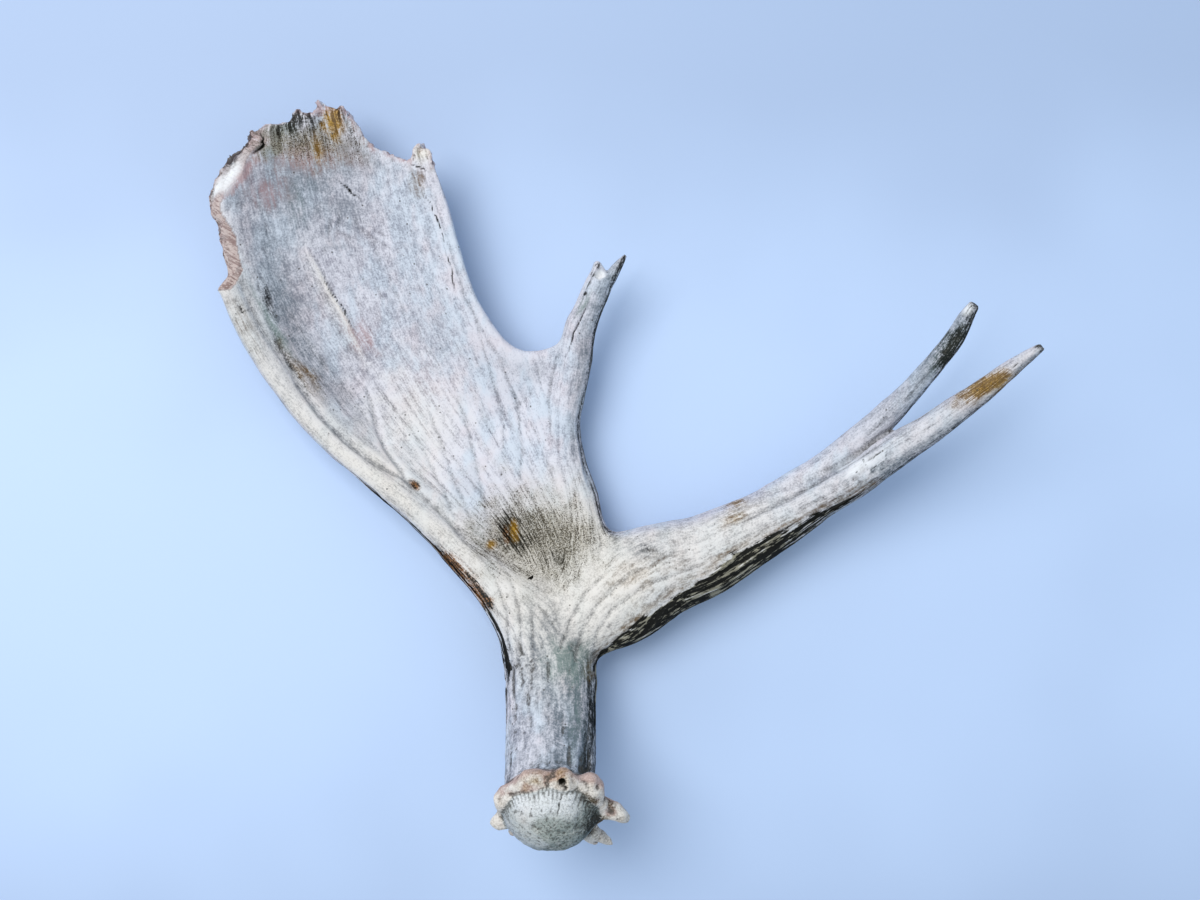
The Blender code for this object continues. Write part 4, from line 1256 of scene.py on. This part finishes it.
def bone_material(colours):
    """Sun-bleached antler: pale lavender bone with cream where it is worn, fibres and furrows drawn along it,
    and the stains, breaks, painted shade and painted highlight that the skin's attributes place."""
    bone = Recipe("weathered_bone")
    place, grain = bone.place(), bone.own_vector("grain")
    sure, bold, flank = bone.own("grain_sure"), bone.own("bold"), bone.own("flank")
    threads = (bone.noise(bone.scaled(grain, (1, 1, 0.16)), 0.0010, 3, 0.65) - 0.5) * sure
    strands = (bone.noise(bone.scaled(grain, (1, 1, 0.06)), 0.0023, 2, 0.55) - 0.5) * sure
    mottle = bone.noise(place, 0.0048, 4, 0.62) - 0.5
    cloud = bone.noise(place, 0.030, 3, 0.5) - 0.5
    grit = bone.noise(place, 0.0011, 2, 0.6) - 0.5
    cool = bone.noise(bone.scaled(place, (1.5, 0.7, 1.0)), 0.024, 3, 0.55).step(0.44, 0.62)
    warm = bone.noise(bone.scaled(place, (1.1, 0.8, 1.0)), 0.017, 3, 0.55).step(0.48, 0.66)

    drawn = threads * 1.5 + strands * (0.4 + bold * 1.1) + (bone.own("fibre") - 0.5) * (0.25 + bold * 0.45)
    # Crests and the palm's bleached and painted-highlight parts are lighter; dirt and painted shade in hollows
    # are darker.
    worn_in = bone.own("crest") * 0.30 + bone.own("bleach") * 0.34 - bone.own("dirt") * 0.2
    patches = bone.noise(bone.scaled(place, (1.6, 0.8, 1.0)), 0.010, 3, 0.6) - 0.5
    tone = drawn + mottle * 1.3 + patches * 0.5 + cloud * 0.9 + grit * 1.7 + worn_in + 0.48
    colour = bone.mix(tone.step(-0.35, 1.15), colours.dull_bone, colours.bright_bone)
    colour = bone.mix(cool * 0.65, colour, colours.blue_bone, "MULTIPLY")
    colour = bone.mix(warm * 0.6, colour, colours.warm_bone, "MULTIPLY")
    worn = bone.mix(tone.step(-0.30, 1.0), colours.dull_cream, colours.cream)
    colour = bone.mix(bone.own("cream") * 0.72, colour, worn)
    colour = bone.mix(bone.own("grey") * (1.08 - tone * 0.65), colour, colours.grey)

    gaps = strands * 3.0 + threads * 2.6 + mottle * 1.5 + grit * 1.6

    def stained(colour, kind, tint, most, ragged=1.0):
        """The colour under a stain that soaks in along the fibres and leaves gaps between them."""
        share = (bone.own(kind) * (1.25 - gaps * ragged) - 0.10).step(0.0, 0.85)
        return bone.mix(share * most, colour, tint)

    drawn_dark = (threads * 2.0 + strands * 1.8 + grit).step(-0.12, 0.22)
    colour = stained(colour, "rose", colours.rose, 0.60)
    colour = stained(colour, "moss", colours.moss, 0.60)
    colour = stained(colour, "chalk", colours.chalk, 1.0, 0.6)
    ridges = (threads * 2.4 + strands * 2.0).step(-0.20, 0.16)
    splinters = bone.mix(ridges, colours.splinter_gap, colours.splinter)
    chalk = bone.own("chalk")
    bare = (1 - chalk) * (1 - bone.own("rose") * 0.7)
    colour = bone.mix(bone.own("face") * bare * 0.92, colour, splinters)

    umber = bone.own("umber")
    colour = bone.mix(umber * (0.70 - grit * 1.2 - threads * 0.8), colour, colours.sand)
    fine = bone.noise(place, 0.0007, 2, 0.6) - 0.5
    specks = (umber * 0.26 - fine * 1.3 - strands * 0.6 - threads * 0.6 - 0.13).step(0.0, 0.22)
    colour = bone.mix(specks * umber.step(0.02, 0.30) * 0.85, colour, colours.umber)
    # Soil, and painted shade on the sides away from the light.
    colour = stained(colour, "soil", bone.mix(drawn_dark, colours.soot, colours.soil), 0.92, 1.5)
    colour = stained(colour, "ochre", bone.mix(drawn_dark, colours.old_gold, colours.ochre), 0.9)

    lines = bone.mix((strands * 1.6 + threads * 1.4).step(0.05, 0.24), colours.soot, colours.tan)
    soot = (flank * 1.5 - strands * 4.0 - threads * 2.0 - mottle * 0.8 - 0.42).step(0.0, 0.30)
    colour = bone.mix(soot * flank.step(0.02, 0.25) * 0.98, colour, lines)
    uneven = 1.15 - threads * 1.6 - mottle * 1.2 - grit * 1.5
    # Dirt and painted shade in the skin's hollows and furrows.
    dirt = (bone.own("dirt") * (1 - flank) * uneven).step(0.08, 0.9)
    colour = bone.mix(dirt * 0.8, colour, colours.dirt)
    colour = stained(colour, "rust", bone.mix(drawn_dark, colours.soot, colours.rust), 0.95, 1.2)
    seal = bone.own("seal")
    pores = (0.50 - bone.noise(place, 0.0013, 3, 0.65)).step(0.0, 0.09) * seal
    dots = 1 - bone.cells(place, 0.0085).step(0.045, 0.085)
    colour = bone.mix((pores * (1 - chalk) * 0.6).most(dots * 0.8), colour, colours.dirt)
    colour = bone.mix(bone.own("crack").step(0.3, 0.85), colour, colours.soot)

    height = threads * 0.8 + strands * (0.5 + bold * 0.6) + grit * (0.4 + seal * 1.4) + mottle * 0.4
    bone.shader.inputs["Specular IOR Level"].default_value = 0.02
    return bone.finish(colour, 0.80 - tone * 0.10, height, 0.6, 0.0010)


def floor_material(colours):
    """Smooth pale blue card, with painted shade that makes it a little duller behind the antler, less so in
    front of it, and in soft clouds.
    """
    card = Recipe("pale_card")
    y = Number(card, card.node("ShaderNodeSeparateXYZ", {}, {0: card.place()}).outputs[1])
    # Painted shade: the card grows duller away from the antler's middle, most behind it.
    tone = (y * y * 10.0 + y + card.noise(card.place(), 0.22, 2, 0.5) * 0.9).step(0.35, 1.35)
    colour = card.mix(tone, colours.floor_pale, colours.floor_painted_shade)
    grit = card.noise(card.place(), 0.004, 2, 0.5)
    return card.finish(colour, 0.55, grit, 0.04, 0.0002)


# ---------------------------------------------------------------- settings


def length_setting(name, description, default):
    """A length that a user may change."""
    return bpy.props.FloatProperty(
        name=name, description=description, default=default, min=0.0, unit="LENGTH", precision=4
    )


def colour_setting(name, description, default):
    """A colour that a user may change."""
    return bpy.props.FloatVectorProperty(
        name=name, description=description, default=default, size=3, min=0.0, max=1.0, subtype="COLOR"
    )


class AntlerShape(bpy.types.PropertyGroup):
    """How fine the skin is and how deep its marks are."""

    skin_size: length_setting("Skin size", "Side of the skin's quads", 0.00114)
    furrow_depth: length_setting("Furrow depth", "Depth of the deepest lengthwise furrows", 0.0012)
    rim_raggedness: length_setting("Rim raggedness", "How far the broken rim's crumbs stand out", 0.0013)
    groove_depth: bpy.props.FloatProperty(
        name="Groove depth", description="Depth of the fan of grooves, as a share", default=1.4, min=0.0
    )
    fork_rounds: bpy.props.IntProperty(
        name="Fork rounds", description="How often the forks are drawn smooth", default=90, min=0
    )


class BoneColours(bpy.types.PropertyGroup):
    """The bone's own colours and those of its stains, and the floor's."""

    bright_bone: colour_setting("Bright bone", "Bleached bone on the crest of a fibre", (0.76, 0.745, 0.80))
    dull_bone: colour_setting("Dull bone", "Weathered bone between fibres", (0.27, 0.26, 0.31))
    blue_bone: colour_setting("Blue bone", "What cool areas of the bone are tinted by", (0.84, 0.96, 1.0))
    warm_bone: colour_setting("Warm bone", "What warm areas of the bone are tinted by", (1.0, 0.92, 0.90))
    splinter: colour_setting("Splinter", "The broken left face", (0.57, 0.45, 0.41))
    splinter_gap: colour_setting("Splinter gap", "Between the broken face's splinters", (0.30, 0.20, 0.18))
    cream: colour_setting("Cream", "Worn bone on ridges and forks", (0.90, 0.83, 0.725))
    dull_cream: colour_setting("Dull cream", "Worn bone between fibres", (0.40, 0.37, 0.32))
    # Soil also serves as painted shade on the sides away from the light, and as painted shadow.
    soil: colour_setting("Soil", "Dark brown-green growth", (0.050, 0.046, 0.032))
    grey: colour_setting("Grey", "Shaded and damp bone", (0.15, 0.18, 0.21))
    sand: colour_setting("Sand", "The ground of the crown's stain", (0.33, 0.29, 0.21))
    umber: colour_setting("Umber", "The specks of the crown's stain", (0.035, 0.025, 0.012))
    rust: colour_setting("Rust", "Orange-brown spots", (0.30, 0.115, 0.022))
    ochre: colour_setting("Ochre", "Yellow-brown stains", (0.47, 0.26, 0.024))
    old_gold: colour_setting("Old gold", "The dark lines in the yellow-brown stains", (0.16, 0.080, 0.010))
    moss: colour_setting("Moss", "Green film in sheltered places", (0.16, 0.23, 0.20))
    rose: colour_setting("Rose", "Pink bone at the breaks and the burr", (0.47, 0.27, 0.26))
    chalk: colour_setting("Chalk", "Fresh white broken bone", (0.92, 0.92, 0.93))
    tan: colour_setting("Tan", "Bare bone between the flank's black furrows", (0.34, 0.31, 0.23))
    soot: colour_setting("Soot", "Black growth in the flank's furrows", (0.006, 0.006, 0.004))
    # Also painted shade in the skin's hollows.
    dirt: colour_setting("Dirt", "Soil in furrows and pores", (0.075, 0.068, 0.058))
    floor_pale: colour_setting("Floor, pale", "The card where it is palest", (0.56, 0.70, 0.95))
    # Painted shade on the card, away from the antler's middle.
    floor_painted_shade: colour_setting("Floor, deep", "The card where it is deepest", (0.42, 0.53, 0.74))


class AntlerStudio(bpy.types.PropertyGroup):
    """The floor, the light and the camera."""

    floor_side: length_setting("Floor side", "Side of the square floor", 6.0)
    camera_height: length_setting("Camera height", "Height of the camera over the floor", 1.0)
    camera_lens: bpy.props.FloatProperty(
        name="Lens", description="Focal length in millimetres", default=48.81, min=1.0
    )
    key_power: bpy.props.FloatProperty(
        name="Key light", description="Power of the large soft light", default=42.0, min=0.0, unit="POWER"
    )
    sky_strength: bpy.props.FloatProperty(
        name="Sky", description="Strength of the even light around", default=0.62, min=0.0
    )


# ---------------------------------------------------------------- operators


def bone_of(context):
    """The bone's material, made once for all branches."""
    made = bpy.data.materials.get("weathered_bone")
    return made or bone_material(context.scene.antler_colours)


class ANTLER_OT_skin(bpy.types.Operator):
    """Grows the antler's whole skin over its lofts, with its relief and stains, and parts it at the forks"""

    bl_idname = "antler.skin"
    bl_label = "Grow the Skin"

    def execute(self, context):
        shape = context.scene.antler_shape
        data = bare_skin(shape)
        grow_stains(data, *grow_relief(data, shape))
        parted(data, seated(data))
        return {"FINISHED"}


class ANTLER_OT_beam(bpy.types.Operator):
    """Adds the round beam with its burr and seal"""

    bl_idname = "antler.beam"
    bl_label = "Burr and Beam"

    def execute(self, context):
        branch_piece("burr_and_beam", bone_of(context))
        return {"FINISHED"}


class ANTLER_OT_palm(bpy.types.Operator):
    """Adds the hollow palm and the short tine on its right edge"""

    bl_idname = "antler.palm"
    bl_label = "Palm and Its Tine"

    def execute(self, context):
        for name in ("palm", "palm_tine"):
            branch_piece(name, bone_of(context))
        return {"FINISHED"}


class ANTLER_OT_brow(bpy.types.Operator):
    """Adds the brow branch and its two tines"""

    bl_idname = "antler.brow"
    bl_label = "Brow Branch and Tines"

    def execute(self, context):
        for name in ("brow_branch", "brow_tine_front", "brow_tine_rear"):
            branch_piece(name, bone_of(context))
        return {"FINISHED"}


class ANTLER_OT_stage(bpy.types.Operator):
    """Adds the pale floor, the soft light and the camera over the antler"""

    bl_idname = "antler.stage"
    bl_label = "Studio"

    def execute(self, context):
        studio = context.scene.antler_studio
        add_floor(studio, context.scene.antler_colours)
        add_light(studio)
        add_camera(studio)
        context.scene.view_settings.view_transform = "Standard"
        return {"FINISHED"}


def add_floor(studio, colours):
    """A square at height 0: its corners are half a side from the origin each way."""
    half = studio.floor_side / 2
    data = bpy.data.meshes.new("floor")
    corners = [(-half, -half, 0), (half, -half, 0), (half, half, 0), (-half, half, 0)]
    data.from_pydata(corners, [], [(0, 1, 2, 3)])
    floor = new_object("floor", data)
    data.materials.append(floor_material(colours))


def aimed(obj, place, target):
    """Puts a light in its place and turns it to face the target."""
    obj.location = place
    obj.rotation_euler = (Vector(target) - Vector(place)).to_track_quat("-Z", "Y").to_euler()


def add_light(studio):
    """One large soft light from the upper left, and an even pale sky."""
    key = bpy.data.lights.new("key", "AREA")
    key.shape, key.size, key.size_y = "RECTANGLE", *KEY_SIDES
    key.energy = studio.key_power
    key.color = KEY_COLOUR
    aimed(new_object("key", key), KEY_PLACE, (0.0, 0.0, 0.0))
    world = bpy.data.worlds.new("sky")
    world.use_nodes = True
    background = world.node_tree.nodes["Background"]
    background.inputs["Color"].default_value = SKY_COLOUR
    background.inputs["Strength"].default_value = studio.sky_strength
    bpy.context.scene.world = world


def add_camera(studio):
    """Straight over the antler, a little left of and behind its footprint's middle."""
    camera = bpy.data.cameras.new("camera")
    camera.lens = studio.camera_lens
    camera.sensor_width = 36.0
    holder = new_object("camera", camera)
    holder.location = (*CAMERA_SPOT, studio.camera_height)
    bpy.context.scene.camera = holder


class ANTLER_PT_panel(bpy.types.Panel):
    """Lists the steps in order, with their settings"""

    bl_idname = "ANTLER_PT_panel"
    bl_label = "Moose Antler"
    bl_space_type = "VIEW_3D"
    bl_region_type = "UI"
    bl_category = "Antler"

    def draw(self, context):
        for group in SETTINGS:
            settings = getattr(context.scene, group)
            box = self.layout.box()
            for name in settings.bl_rna.properties.keys():
                if name not in ("rna_type", "name"):
                    box.prop(settings, name)
        for operator in STEPS:
            self.layout.operator(operator.bl_idname)


STEPS = (ANTLER_OT_skin, ANTLER_OT_beam, ANTLER_OT_palm, ANTLER_OT_brow, ANTLER_OT_stage)
SETTINGS = {"antler_shape": AntlerShape, "antler_colours": BoneColours, "antler_studio": AntlerStudio}


def register():
    """Adds the settings to every scene, and the operators and the panel."""
    for group in (*SETTINGS.values(), *STEPS, ANTLER_PT_panel):
        bpy.utils.register_class(group)
    for name, group in SETTINGS.items():
        setattr(bpy.types.Scene, name, bpy.props.PointerProperty(type=group))


def unregister():
    """Takes away what register added."""
    for name in SETTINGS:
        delattr(bpy.types.Scene, name)
    for group in reversed((*SETTINGS.values(), *STEPS, ANTLER_PT_panel)):
        bpy.utils.unregister_class(group)


def main():
    """Runs every step in order."""
    register()
    for operator in STEPS:
        group, name = operator.bl_idname.split(".")
        getattr(getattr(bpy.ops, group), name)()
    bpy.data.meshes.remove(bpy.data.meshes["antler_skin"])


if __name__ == "__main__":
    main()
